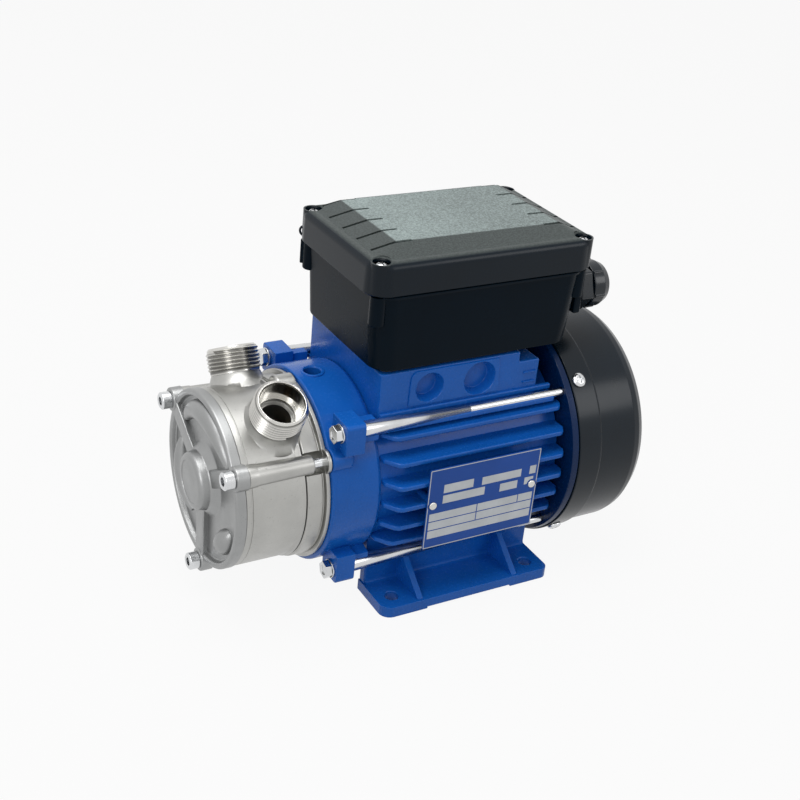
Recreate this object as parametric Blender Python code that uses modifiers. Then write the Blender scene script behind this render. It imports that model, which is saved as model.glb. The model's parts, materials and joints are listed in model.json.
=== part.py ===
"""Liquid ring pump: a cast pump end with two threaded ports on a small foot-mounted electric motor.

X runs along the shaft, with the pump at -X and the fan at +X. The ports lean to -Y and +Y. Z is up.
The origin lies under the middle of the feet, on the floor. Sizes are in millimetres.
"""

import math

import bmesh
import bpy
from mathutils import Matrix, Vector

# Units and fits
MM = 0.001
JOINT_GAP = 0.25  # between two faces that are bolted together
PRESS_GAP = 0.08  # round a ring pressed into its seat
SCREW_GAP = 0.25  # round a screw in its hole
ROUND_STEPS = 32
SHAFT_STEPS = 20
RING_STEPS = 16
SMALL_STEPS = 8
THREAD_STEPS = 16
EMBED = 0.4  # how far a joined shape starts behind the face it grows from
OVERCUT = 3.0  # how far a cutter runs past the face it opens
SMOOTH_ANGLE = 35.0

# Motor housing: barrel and fins
HOUSING_FRONT = -50.0
HOUSING_LENGTH = 102.5
BARREL_DIA = 93.0
BARREL_WALL = 4.5
SPIGOT_DEPTH = 4.0
FIN_DEPTH = 10.5
FIN_COUNT = 6
FIN_THICK = 2.4
FIN_SCOOP = 5.0
FIN_TOP_DROP = 6.1  # from the upper tie rods down to the first fin
FIN_LOW_RISE = 12.85  # from the lower tie rods up to the last fin
FIN_ROOT = 4.0
PLATE_FIN = 3  # the fin that carries the nameplate, counted from 0

# Tie rods
TIE_ROD_RISE = 9.7  # from the barrel out to the middle of a rod
TIE_ROD_ANGLE = 42.0
TIE_ROD_DIA = 4.2
TIE_EAR_INSET = 5.2
TIE_EAR_LENGTH = 10.0
TIE_EAR_WIDTH = 12.0
TIE_HEAD_WIDTH = 8.0
TIE_HEAD_THICK = 3.2
TIE_HEAD_TURN = 12.0
TIE_COLLAR_DIA = 9.4
TIE_COLLAR_THICK = 0.9
TIE_REAR_DEPTH = 4.5

# Motor feet and shaft height
SHAFT_HEIGHT = 63.0
FOOT_FRONT_INSET = 10.0
FOOT_REAR_INSET = 12.5
FOOT_HOLES_Y = 100.0
FOOT_HOLE_DIA = 7.0
FOOT_END_EDGE = 9.0
FOOT_SIDE_EDGE = 9.5
FOOT_THICK = 6.0
FOOT_CORNER = 5.0
FOOT_RELIEF_INSET = 15.0
FOOT_RELIEF_DEPTH = 1.2
WEB_ROD_GAP = 3.66
WEB_THICK = 5.0
WEB_ROOT = 6.0
GUSSET_INSET = 12.0
GUSSET_THICK = 3.0
GUSSET_ROD_GAP = 1.8
GUSSET_REACH = 3.0

# Rear shield, fan and fan cover
SHIELD_RIM_WALL = 4.3  # from the middle of a tie rod out to the rim
SHIELD_RIM_THICK = 3.7
SHIELD_LENGTH = 13.5
SHIELD_WALL = 8.0
SHIELD_FACE_THICK = 2.0
COVER_RIM_STEP = 0.7
COVER_FIT = 0.5
COVER_BAND_STEP = 1.2
COVER_REAR_STEP = 8.0
COVER_WALL = 2.0
COVER_BAND_LENGTH = 17.0
COVER_ROUNDING = 10.0
COVER_SCREW_ANGLE = 45.0
COVER_SCREW_SETBACK = 5.2
COVER_SCREW_DIA = 4.0
COVER_SCREW_HEAD = 7.6
COVER_SCREW_DEPTH = 4.5
FAN_SETBACK = 6.0
FAN_WIDTH = 18.0
FAN_TIP_GAP = 6.0
FAN_HUB_DIA = 24.0
FAN_HUB_FRONT = 4.0
FAN_DISC_THICK = 2.0
FAN_BLADES = 9
FAN_BLADE_THICK = 1.8
GRILLE_SLOTS = 12
GRILLE_SLOT_WIDTH = 5.0
GRILLE_INNER = 14.0
GRILLE_BORDER = 7.0

# Pedestal under the terminal box
PEDESTAL_CLEARANCE = 0.3  # over the fan cover
PEDESTAL_ROD_GAP = 2.66
PEDESTAL_ROOT = 4.2
PEDESTAL_REAR_INSET = 24.5
PEDESTAL_EAR_INSET = 12.5
PEDESTAL_EAR_DROP = 5.5
PEDESTAL_LEDGE = 3.0
PEDESTAL_LEDGE_REACH = 1.4
PEDESTAL_LEDGE_DROP = 23.0
PEDESTAL_LEDGE_TAIL = 8.0
KNOCKOUT_DIA = 15.0
KNOCKOUT_STEP = 1.0
KNOCKOUT_DEPTH = 1.8
KNOCKOUT_DROP = 10.8
KNOCKOUT_FRONT_INSET = 27.0
KNOCKOUT_REAR_INSET = 22.5
CABLE_WINDOW_X = 30.0
CABLE_WINDOW_Y = 24.0

# Drive-end flange
FLANGE_LENGTH = 26.2
FLANGE_STEP = 2.5
FLANGE_WALL = 4.5
FLANGE_FACE_THICK = 4.0
FLANGE_WEB_THICK = 4.5
FLANGE_LIP = 3.0
DRAIN_INSET = 9.7
DRAIN_DIA = 8.6

# Bearings
BEARING_BORE = 15.0
BEARING_OUTER = 35.0
BEARING_WIDTH = 11.0
BEARING_RING = 2.6
BEARING_HUB_WALL = 4.0
BEARING_LIP = 3.0
BALL_DIA = 5.2
BALL_COUNT = 7
CAGE_WIDTH = 2.4
CAGE_THICK = 1.4
FRONT_BEARING_INSET = 11.6
REAR_BEARING_INSET = 2.1

# Stator and rotor
CORE_FRONT_INSET = 22.0
CORE_REAR_INSET = 20.5
ROTOR_SHARE = 0.5238  # of the bore, as the stator teeth and the rotor share it
AIR_GAP = 0.5
ROTOR_RING_LENGTH = 6.0
WINDING_LENGTH = 12.5
WINDING_WALL_GAP = 3.0
WINDING_ROTOR_GAP = 6.0

# Shaft
SHAFT_NOSE_DIA = 10.0
SHAFT_PUMP_DIA = 12.0
SHAFT_ROTOR_DIA = 18.0
SHAFT_NOSE_GAP = 7.8
SHAFT_TAIL = 3.0
SHAFT_COVER_GAP = 11.0

# Terminal box
BOX_OVERHANG = 9.0
BOX_CENTRE_Y = 1.5
BOX_WALL = 2.6
BOX_GASKET_THICK = 1.0
BOX_BASE_HEIGHT = 38.2
BASE_INSET_FRONT = 3.8
BASE_INSET_REAR = 4.2
BASE_INSET_SIDE = 1.15
BASE_DRAFT_FRONT = 2.2
BASE_DRAFT_REAR = 3.2
BASE_DRAFT_SIDE = 0.75
BASE_CORNER = 10.0
BASE_RIM = 0.9
BASE_RIM_HEIGHT = 1.3
BASE_POST_DIA = 8.0
BASE_POST_LENGTH = 15.2
BASE_TAB_WIDTH = 3.0
BASE_TAB_REACH = 2.2
BASE_TAB_HEIGHT = 13.0
LID_LENGTH = 123.0
LID_WIDTH = 82.0
LID_CORNER = 10.5
LID_HEIGHT = 16.0
LID_CROWN = 3.0
LID_END_SLOPE = 21.5
LID_SIDE_SLOPE = 13.0
LID_SHIFT_Y = 1.0
LID_SLOTS = 5
LID_SLOT_PITCH = 14.1
LID_SLOT_WIDTH = 1.6
LID_SLOT_DEPTH = 1.3
LID_SLOT_RUN = 4.5  # how far a slot runs on over the raised middle
LID_SLOT_END = 4.0
LID_SCREW_INSET = 6.3
LID_SCREW_DIA = 3.4
LID_SCREW_HEAD = 6.0
LID_SCREW_DEPTH = 9.5
LID_RECESS_DIA = 8.4
LID_RECESS_DEPTH = 3.2
LID_EYE_RADIUS = 2.4
LID_EYE_WIRE = 0.6
LID_EYE_RISE = 3.2
BOX_SCREW_X = 20.0
BOX_SCREW_DIA = 4.0
BOX_SCREW_HEAD = 7.0
BOX_SCREW_DEPTH = 7.0

# Cable gland and what is inside the box
GLAND_SIDE_INSET = 17.5
GLAND_DROP = 15.2
GLAND_PAD_RISE = 2.5
GLAND_THREAD_DIA = 16.0
GLAND_BORE = 9.0
GLAND_HEX = 22.0
GLAND_HEX_TURN = 10.0
GLAND_BODY_LENGTH = 8.0
GLAND_NUT_DIA = 24.0
GLAND_NUT_LENGTH = 12.0
GLAND_TAIL = 7.5
CAPACITOR_DIA = 28.0
CAPACITOR_FRONT = 30.0
CAPACITOR_REAR = 35.0
CAPACITOR_SIDE = 25.5
CAPACITOR_NECK = 4.0
CAPACITOR_NECK_DIA = 7.0
BOARD_LENGTH = 44.0
BOARD_WIDTH = 22.0
BOARD_THICK = 4.0
BOARD_FRONT = 49.0
BOARD_SIDE = 20.5
BOARD_STUDS = 3
BOARD_STUD_DIA = 3.6
BOARD_STUD_RISE = 8.0

# Nameplate
PLATE_INSET = 19.75
PLATE_REAR_INSET = 19.25
PLATE_DROP = 4.5
PLATE_HEIGHT = 44.8
PLATE_THICK = 0.8
RIVET_DIA = 2.4
RIVET_HEAD = 4.4
RIVET_INSET = 3.2
RIVET_DEPTH = 4.6

# Pump casting: lengths from the motor flange forward
PUMP_STEP = 5.0  # from the flange rim in to the pump's own rim
PLATE_FLANGE_GAP = 0.3
PLATE_FLANGE_THICK = 2.0
BACK_PLATE_LENGTH = 10.7
BODY_LENGTH = 29.8
COVER_LENGTH = 5.1
HUB_LENGTH = 5.9
SPIGOT_LENGTH = 2.7
RECESS_DEPTH = 1.8
CHAMBER_LENGTH = 13.5
DIVIDER_THICK = 3.0

# Front cover
BODY_STEP = 0.4
BODY_WALL = 6.6
HUB_DIA = 28.5
HUB_FACE = 3.0
RIM_WIDTH = 5.5
ARM_ROOT_WIDTH = 18.0
ARM_KNEE_WIDTH = 9.2
ARM_END_WIDTH = 7.2
ARM_KNEE = 9.75  # from the hub out to where an arm narrows less
ARM_END_GAP = 5.7
CHANNEL_INSET = 15.5
CHANNEL_BEAD = 6.0
CHANNEL_LIFT = 2.6
CHANNEL_FROM = 46.0
CHANNEL_TO = 134.0
BUSH_OUTER = 16.0
BUSH_LENGTH = 8.0
PUMP_SCREW_RISE = 2.2
PUMP_SCREW_DIA = 5.0
PUMP_SCREW_HEAD = 8.8
PUMP_SCREW_HEAD_LENGTH = 5.0
PUMP_SCREW_SOCKET = 4.0
PUMP_SCREW_GRIP = 8.6
PUMP_EAR_DIA = 12.0
PUMP_EAR_RISE = 0.9
BOSS_DIA = 10.4
BOSS_INSET = 7.9

# Ports
PORT_INSET = 8.5
PORT_ANGLE = 30.0
PORT_RISE = 16.7
PORT_THREAD_DIA = 26.4
PORT_THREAD_LENGTH = 12.7
PORT_THREAD_PITCH = 1.814
PORT_NECK_DIA = 24.2
PORT_BORE = 21.0
PORT_LEDGE = 18.0
PORT_LEDGE_DEPTH = 11.5
PORT_LEDGE_THICK = 2.0
PORT_THROAT = 15.0
WINDOW_DIA = 11.0
WINDOW_INSET = 11.0

# Back plate, impeller and shaft seal
PLATE_BAND_STEP = 1.0
PLATE_FLANGE_STEP = 2.0
PLATE_HUB_RISE = 1.5
TOP_LUG_DIA = 16.0
TOP_LUG_INSET = 4.0
IMPELLER_TIP_GAP = 3.0
IMPELLER_GAP = 0.6
IMPELLER_WIDTH = 9.0
IMPELLER_HUB_DIA = 30.0
IMPELLER_WEB = 3.0
IMPELLER_VANES = 12
IMPELLER_VANE_THICK = 2.4
NUT_THICK = 1.8
NUT_DIA = 15.2
SEAL_OUTER = 26.0
SEAT_LENGTH = 5.0
SEAL_HEAD_LENGTH = 4.5
SPRING_DIA = 1.4
SPRING_TURNS = 4
O_RING_DIA = 2.0
O_RING_INSET = 2.3
SLINGER_DIA = 30.0
SLINGER_THICK = 3.0
SLINGER_SETBACK = 6.2

# Derived sizes across the shaft
BARREL_R = BARREL_DIA / 2
BORE_R = BARREL_R - BARREL_WALL
ROTOR_R = BORE_R * ROTOR_SHARE
FIN_TIP_R = BARREL_R + FIN_DEPTH
FLANGE_R = BARREL_R + FLANGE_STEP
TIE_ROD_RADIUS = BARREL_R + TIE_ROD_RISE
TIE_REACH = TIE_ROD_RADIUS * math.cos(math.radians(TIE_ROD_ANGLE))
TIE_HEIGHT = TIE_ROD_RADIUS * math.sin(math.radians(TIE_ROD_ANGLE))
TIE_ANGLES = (180 - TIE_ROD_ANGLE, TIE_ROD_ANGLE, 180 + TIE_ROD_ANGLE, 360 - TIE_ROD_ANGLE)
FIN_TOP = TIE_HEIGHT - FIN_TOP_DROP
FIN_PITCH = (2 * TIE_HEIGHT - FIN_TOP_DROP - FIN_LOW_RISE) / (FIN_COUNT - 1)
FIN_HEIGHTS = [FIN_TOP - FIN_PITCH * i for i in range(FIN_COUNT)]
SHIELD_RIM_R = TIE_ROD_RADIUS + SHIELD_RIM_WALL
COVER_FRONT_R = SHIELD_RIM_R + COVER_RIM_STEP
COVER_MAIN_R = COVER_FRONT_R - COVER_BAND_STEP
COVER_REAR_R = COVER_MAIN_R - COVER_REAR_STEP
SHIELD_SPIGOT_R = COVER_FRONT_R - COVER_WALL - COVER_FIT
FAN_R = COVER_MAIN_R - COVER_WALL - FAN_TIP_GAP
GRILLE_OUTER = COVER_REAR_R - GRILLE_BORDER
SHAFT_R = SHAFT_PUMP_DIA / 2
BEARING_R = BEARING_OUTER / 2
PUMP_R = FLANGE_R - PUMP_STEP
BODY_R = PUMP_R - BODY_STEP
CHAMBER_R = BODY_R - BODY_WALL
PLATE_BAND_R = PUMP_R + PLATE_BAND_STEP
IMPELLER_R = CHAMBER_R - IMPELLER_TIP_GAP
O_RING_RADIUS = CHAMBER_R + O_RING_INSET
PUMP_SCREW_RADIUS = PUMP_R + PUMP_SCREW_RISE
PUMP_SCREW_ANGLES = (30.0, 150.0, 270.0)
PORT_MOUTH = PUMP_R + PORT_RISE

# Derived places along the shaft
HOUSING_REAR = HOUSING_FRONT + HOUSING_LENGTH
FLANGE_FRONT = HOUSING_FRONT - FLANGE_LENGTH
TIE_EAR_FRONT = FLANGE_FRONT + TIE_EAR_INSET
TIE_EAR_REAR = TIE_EAR_FRONT + TIE_EAR_LENGTH
DRAIN_X = FLANGE_FRONT + DRAIN_INSET
FRONT_BEARING_X = HOUSING_FRONT - FRONT_BEARING_INSET
REAR_BEARING_X = HOUSING_REAR + REAR_BEARING_INSET
CORE_FRONT = HOUSING_FRONT + CORE_FRONT_INSET
CORE_REAR = HOUSING_REAR - CORE_REAR_INSET
SHIELD_RIM_REAR = HOUSING_REAR + SHIELD_RIM_THICK
SHIELD_REAR = HOUSING_REAR + SHIELD_LENGTH
COVER_STEP_X = HOUSING_REAR + COVER_BAND_LENGTH
COVER_SCREW_X = SHIELD_RIM_REAR + COVER_SCREW_SETBACK
FAN_FRONT = SHIELD_REAR + FAN_SETBACK
SHAFT_REAR = FAN_FRONT + FAN_WIDTH + SHAFT_TAIL
COVER_END_X = SHAFT_REAR + SHAFT_COVER_GAP
COVER_SHOULDER_X = COVER_END_X - COVER_ROUNDING
PLATE_REAR = FLANGE_FRONT - PLATE_FLANGE_GAP
PLATE_FLANGE_FRONT = PLATE_REAR - PLATE_FLANGE_THICK
PLATE_BAND_FRONT = PLATE_REAR - BACK_PLATE_LENGTH
PLATE_HUB_FRONT = PLATE_BAND_FRONT - PLATE_HUB_RISE
BODY_REAR = PLATE_BAND_FRONT - PLATE_FLANGE_GAP
BOSS_REAR = PLATE_REAR - BOSS_INSET
PORT_X = BODY_REAR - PORT_INSET
SEAM_X = BODY_REAR - BODY_LENGTH
SPIGOT_X = SEAM_X + SPIGOT_LENGTH
DIVIDER_X = SEAM_X + CHAMBER_LENGTH
COVER_X = SEAM_X - COVER_LENGTH
RECESS_X = COVER_X + RECESS_DEPTH
HUB_FRONT_X = COVER_X - HUB_LENGTH
PUMP_EAR_FRONT = COVER_X - PUMP_EAR_RISE
PUMP_SCREW_END = FLANGE_FRONT + PUMP_SCREW_GRIP
SHAFT_FRONT = HUB_FRONT_X + SHAFT_NOSE_GAP
SLINGER_X = FLANGE_FRONT + SLINGER_SETBACK
IMPELLER_REAR = DIVIDER_X - IMPELLER_GAP
IMPELLER_FRONT = IMPELLER_REAR - IMPELLER_WIDTH

# Derived places of feet, pedestal, nameplate and terminal box
FOOT_HOLES_FRONT = HOUSING_FRONT + FOOT_FRONT_INSET
FOOT_HOLES_REAR = HOUSING_REAR - FOOT_REAR_INSET
GUSSET_PLACES = (FOOT_HOLES_FRONT + GUSSET_INSET, FOOT_HOLES_REAR - GUSSET_INSET)
WEB_HALF_WIDTH = TIE_REACH - TIE_ROD_DIA / 2 - WEB_ROD_GAP
GUSSET_TOP = SHAFT_HEIGHT - TIE_HEIGHT - TIE_ROD_DIA / 2 - GUSSET_ROD_GAP
PEDESTAL_HALF_WIDTH = TIE_REACH - TIE_ROD_DIA / 2 - PEDESTAL_ROD_GAP
PEDESTAL_TOP = SHAFT_HEIGHT + COVER_FRONT_R + PEDESTAL_CLEARANCE
PEDESTAL_REAR = HOUSING_REAR - PEDESTAL_REAR_INSET
PEDESTAL_EAR_REAR = HOUSING_REAR - PEDESTAL_EAR_INSET
KNOCKOUT_HEIGHT = PEDESTAL_TOP - KNOCKOUT_DROP
KNOCKOUT_PLACES = (HOUSING_FRONT + KNOCKOUT_FRONT_INSET, PEDESTAL_REAR - KNOCKOUT_REAR_INSET)
WINDOW_X = (HOUSING_FRONT + PEDESTAL_REAR) / 2
PLATE_LOW_X = HOUSING_FRONT + PLATE_INSET
PLATE_HIGH_X = HOUSING_REAR - PLATE_REAR_INSET
PLATE_Y = -(FIN_TIP_R + JOINT_GAP)
PLATE_Z = SHAFT_HEIGHT - PLATE_DROP
BOX_BASE_Z = PEDESTAL_TOP + BOX_GASKET_THICK + 2 * JOINT_GAP
BOX_SEAM_Z = BOX_BASE_Z + BOX_BASE_HEIGHT
LID_BASE_Z = BOX_SEAM_Z + JOINT_GAP
LID_EDGE_Z = LID_BASE_Z + LID_HEIGHT
LID_TOP_Z = LID_EDGE_Z + LID_CROWN
LID_FRONT = HOUSING_FRONT - BOX_OVERHANG
LID_REAR = LID_FRONT + LID_LENGTH
LID_NEAR = BOX_CENTRE_Y - LID_WIDTH / 2
LID_FAR = BOX_CENTRE_Y + LID_WIDTH / 2
BASE_REAR = LID_REAR - BASE_INSET_REAR
GLAND_WALL_X = BASE_REAR + GLAND_PAD_RISE
GLAND_Y = LID_NEAR + GLAND_SIDE_INSET
GLAND_Z = BOX_SEAM_Z - GLAND_DROP


def clear_scene():
    for obj in list(bpy.data.objects):
        bpy.data.objects.remove(obj)


def new_collection(name):
    made = bpy.data.collections.new(name)
    bpy.context.scene.collection.children.link(made)
    return made


def smooth_by_angle():
    """A modifier group that shades faces smooth and keeps edges sharper than SMOOTH_ANGLE crisp."""
    group = bpy.data.node_groups.new("smooth_by_angle", "GeometryNodeTree")
    group.interface.new_socket("Geometry", in_out="INPUT", socket_type="NodeSocketGeometry")
    group.interface.new_socket("Geometry", in_out="OUTPUT", socket_type="NodeSocketGeometry")
    entry = group.nodes.new("NodeGroupInput")
    faces = group.nodes.new("GeometryNodeSetShadeSmooth")
    edges = group.nodes.new("GeometryNodeSetShadeSmooth")
    edges.domain = "EDGE"
    edges.inputs["Shade Smooth"].default_value = False
    angle = group.nodes.new("GeometryNodeInputMeshEdgeAngle")
    sharp = group.nodes.new("FunctionNodeCompare")
    sharp.operation = "GREATER_THAN"
    sharp.inputs[1].default_value = math.radians(SMOOTH_ANGLE)
    result = group.nodes.new("NodeGroupOutput")
    group.links.new(entry.outputs[0], faces.inputs["Geometry"])
    group.links.new(angle.outputs["Unsigned Angle"], sharp.inputs[0])
    group.links.new(faces.outputs["Geometry"], edges.inputs["Geometry"])
    group.links.new(sharp.outputs["Result"], edges.inputs["Selection"])
    group.links.new(edges.outputs["Geometry"], result.inputs[0])
    return group


clear_scene()
PARTS = new_collection("liquid_ring_pump")
TOOLS = new_collection("cutters_and_joins")
ON_SHAFT = (0.0, 0.0, SHAFT_HEIGHT)
ALONG_X = (0.0, math.pi / 2, 0.0)
ALONG_Z = (0.0, 0.0, 0.0)
LAID = {
    "X": Matrix(((0, 0, 1), (1, 0, 0), (0, 1, 0))).to_4x4(),
    "Y": Matrix(((1, 0, 0), (0, 0, -1), (0, 1, 0))).to_4x4(),
    "Z": Matrix(),
}


def material(name, colour, metallic, roughness):
    found = bpy.data.materials.get(name)
    if found:
        return found
    made = bpy.data.materials.new(name)
    made.use_nodes = True
    shader = made.node_tree.nodes["Principled BSDF"]
    shader.inputs["Base Color"].default_value = (*colour, 1.0)
    shader.inputs["Metallic"].default_value = metallic
    shader.inputs["Roughness"].default_value = roughness
    return made


LOOKS = {
    "cast_stainless": ((0.42, 0.43, 0.41), 1.0, 0.34),
    "machined_stainless": ((0.55, 0.55, 0.54), 1.0, 0.22),
    "zinc": ((0.62, 0.63, 0.64), 1.0, 0.25),
    "blue_enamel": ((0.008, 0.075, 0.38), 0.0, 0.35),
    "navy_enamel": ((0.004, 0.015, 0.11), 0.0, 0.35),
    "black_plastic": ((0.012, 0.016, 0.022), 0.0, 0.42),
    "rubber": ((0.012, 0.012, 0.012), 0.0, 0.7),
    "copper": ((0.55, 0.2, 0.08), 1.0, 0.35),
    "steel": ((0.35, 0.36, 0.38), 1.0, 0.35),
    "laminated_steel": ((0.22, 0.23, 0.25), 1.0, 0.45),
    "aluminium": ((0.6, 0.6, 0.6), 1.0, 0.4),
    "carbon": ((0.03, 0.03, 0.035), 0.2, 0.4),
    "brass": ((0.6, 0.42, 0.13), 1.0, 0.3),
    "plate_blue": ((0.015, 0.1, 0.42), 0.3, 0.3),
    "white_plastic": ((0.7, 0.7, 0.68), 0.0, 0.4),
}


def place(obj, look=None):
    """Keep the object as a sub-part of its own with this look, or as a helper when there is none."""
    if look is None:
        TOOLS.objects.link(obj)
        obj.hide_render = True
        obj.display_type = "WIRE"
        return obj
    PARTS.objects.link(obj)
    obj.data.materials.append(material(f"{obj.name}_{look}", *LOOKS[look]))
    return obj


def keep_mesh(name, work, look=None, origin=(0.0, 0.0, 0.0), turn=ALONG_Z):
    """Make the worked mesh an object, with its origin at a place in millimetres."""
    bmesh.ops.recalc_face_normals(work, faces=work.faces)
    mesh = bpy.data.meshes.new(name)
    work.to_mesh(mesh)
    work.free()
    obj = bpy.data.objects.new(name, mesh)
    obj.location = Vector(origin) * MM
    obj.rotation_euler = turn
    return place(obj, look)


def keep_curve(name, curve, look=None, lay=Matrix(), origin=(0.0, 0.0, 0.0)):
    """Make the curve's filled shape a closed mesh, with its axes laid by a matrix."""
    drawn = bpy.data.objects.new(name, curve)
    mesh = bpy.data.meshes.new_from_object(drawn)
    work = bmesh.new()
    work.from_mesh(mesh)
    bpy.data.objects.remove(drawn)
    bpy.data.curves.remove(curve)
    bpy.data.meshes.remove(mesh)
    bmesh.ops.remove_doubles(work, verts=work.verts, dist=0.001 * MM)
    bmesh.ops.dissolve_limit(work, angle_limit=math.radians(0.5), verts=work.verts, edges=work.edges)
    bmesh.ops.transform(work, matrix=lay, verts=work.verts)
    return keep_mesh(name, work, look, origin)


def offset_angle():
    """A small turn for a helper, so that its corners never meet those of the piece it shapes."""
    return 0.07 + 0.013 * (len(TOOLS.objects) % 7)


def revolve(name, profile, look=None, steps=ROUND_STEPS, centre=ON_SHAFT, turn=ALONG_X, phase=None):
    """Turn a profile of (along the axis, radius) pairs round an axis through the centre."""
    if phase is None:
        phase = 0.0 if look else offset_angle()
    ends_on_axis = profile[0][1] == 0 and profile[-1][1] == 0
    ring = list(profile)
    area = sum(a[1] * b[0] - b[1] * a[0] for a, b in zip(ring, ring[1:] + ring[:1]))
    if area > 0:
        ring.reverse()
    mesh = bpy.data.meshes.new(name)
    edges = [(i, i + 1) for i in range(len(ring) - 1)]
    if not ends_on_axis:
        edges.append((len(ring) - 1, 0))
    around, across = math.cos(phase), math.sin(phase)
    mesh.from_pydata([(r * around * MM, r * across * MM, x * MM) for x, r in ring], edges, [])
    obj = bpy.data.objects.new(name, mesh)
    screw = obj.modifiers.new("Turn", "SCREW")
    screw.axis = "Z"
    screw.angle = 2 * math.pi
    screw.steps = steps
    screw.render_steps = steps
    screw.use_merge_vertices = True
    screw.merge_threshold = 0.000002
    screw.use_smooth_shade = True
    obj.location = Vector(centre) * MM
    obj.rotation_euler = turn
    return place(obj, look)


def cylinder(name, start, end, radius, steps=SMALL_STEPS, centre=ON_SHAFT, turn=ALONG_X, phase=None):
    """A plain round bar between two places along an axis through the centre."""
    if phase is None:
        phase = offset_angle()
    middle = Matrix.Translation((0.0, 0.0, (start + end) / 2 * MM))
    work = bmesh.new()
    bmesh.ops.create_cone(
        work,
        cap_ends=True,
        segments=steps,
        radius1=radius * MM,
        radius2=radius * MM,
        depth=abs(end - start) * MM,
        matrix=middle @ Matrix.Rotation(phase, 4, "Z"),
    )
    return keep_mesh(name, work, None, centre, turn)


def rod(name, start, end, radius, at, steps=SMALL_STEPS):
    """A plain round bar along X, with its middle at this Y and Z."""
    return cylinder(name, start, end, radius, steps, (0.0, *at))


def upright(name, x, y, radius, low, high, steps=SMALL_STEPS):
    """A plain round bar standing along Z."""
    return cylinder(name, low, high, radius, steps, (x, y, 0.0), ALONG_Z)


def prism(name, outline, low, high, axis="Z", look=None):
    """An outline extruded along an axis. The pairs are YZ for X, XZ for Y and XY for Z."""
    curve = bpy.data.curves.new(name, "CURVE")
    curve.dimensions = "2D"
    curve.fill_mode = "BOTH"
    curve.extrude = (high - low) / 2 * MM
    spline = curve.splines.new("POLY")
    spline.points.add(len(outline) - 1)
    for point, (a, b) in zip(spline.points, outline):
        point.co = (a * MM, b * MM, 0.0, 1.0)
    spline.use_cyclic_u = True
    middle = (low + high) / 2
    origin = {"X": (middle, 0.0, 0.0), "Y": (0.0, middle, 0.0), "Z": (0.0, 0.0, middle)}[axis]
    return keep_curve(name, curve, look, LAID[axis], origin)


def block(name, low, high, look=None):
    """A plain box between two opposite corners."""
    middle = [(a + b) / 2 for a, b in zip(low, high)]
    sizes = [(b - a) * MM for a, b in zip(low, high)]
    work = bmesh.new()
    bmesh.ops.create_cube(work, size=1.0, matrix=Matrix.Diagonal((*sizes, 1.0)))
    return keep_mesh(name, work, look, middle)


def rounded_outline(low, high, radius, per_corner=2):
    """A rectangle between two corners with its own corners rounded, as XY pairs."""
    outline = []
    corners = [(high[0], high[1]), (low[0], high[1]), (low[0], low[1]), (high[0], low[1])]
    for corner, (at_x, at_y) in enumerate(corners):
        cx = at_x - radius if at_x == high[0] else at_x + radius
        cy = at_y - radius if at_y == high[1] else at_y + radius
        for step in range(per_corner + 1):
            angle = math.radians(90 * corner + 90 * step / per_corner)
            outline.append((cx + radius * math.cos(angle), cy + radius * math.sin(angle)))
    return outline


def loft(name, layers, look=None):
    """A closed solid through a stack of (outline, z) layers with equal point counts."""
    work = bmesh.new()
    rings = [[work.verts.new((x * MM, y * MM, z * MM)) for x, y in outline] for outline, z in layers]
    work.faces.new(rings[0])
    work.faces.new(rings[-1])
    for low, high in zip(rings, rings[1:]):
        for i in range(len(low)):
            j = (i + 1) % len(low)
            work.faces.new((low[i], low[j], high[j], high[i]))
    return keep_mesh(name, work, look)


def hexagon(width, centre=(0.0, 0.0), turn=0.0):
    radius = width / math.sqrt(3)
    return [
        (
            centre[0] + radius * math.cos(math.radians(turn + 60 * i)),
            centre[1] + radius * math.sin(math.radians(turn + 60 * i)),
        )
        for i in range(6)
    ]


def bead(name, places, thick, radii=None, look=None, origin=(0.0, 0.0, 0.0)):
    """A round wire through places in millimetres, as thick as the radii say where they are given."""
    curve = bpy.data.curves.new(name, "CURVE")
    curve.dimensions = "3D"
    curve.bevel_depth = thick * MM
    curve.bevel_resolution = 2
    curve.use_fill_caps = True
    spline = curve.splines.new("POLY")
    spline.points.add(len(places) - 1)
    for number, (point, spot) in enumerate(zip(spline.points, places)):
        point.co = (*(Vector(spot) * MM), 1.0)
        point.radius = radii[number] if radii else 1.0
    return keep_curve(name, curve, look, Matrix(), origin)


def channel_bead(name, radius, thick, x, back, start, end, steps=10):
    """A bead on an arc round the shaft, narrowing towards both ends, with a flat back."""
    places = []
    radii = []
    for i in range(steps + 1):
        angle = math.radians(start + (end - start) * i / steps)
        places.append((x, -radius * math.cos(angle), SHAFT_HEIGHT + radius * math.sin(angle)))
        radii.append(math.sqrt(math.sin(math.pi * (i + 0.35) / (steps + 0.7))))
    tube = bead(name, places, thick, radii)
    reach = radius + thick + OVERCUT
    low = (back, -reach, SHAFT_HEIGHT - reach)
    high = (back + thick + OVERCUT, reach, SHAFT_HEIGHT + reach)
    return cut(tube, block(f"{name}_back", low, high))


def boolean(target, others, operation):
    for other in others:
        step = target.modifiers.new(f"{operation.title()} {other.name}", "BOOLEAN")
        step.operation = operation
        step.solver = "EXACT"
        step.object = other
    return target


def join(target, *others):
    return boolean(target, others, "UNION")


def cut(target, *others):
    return boolean(target, others, "DIFFERENCE")


def on_circle(radius, angle):
    """The Y and Z of a place round the shaft, seen from the pump end, with 0 at the viewer's right."""
    turn = math.radians(angle)
    return -radius * math.cos(turn), SHAFT_HEIGHT + radius * math.sin(turn)


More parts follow.
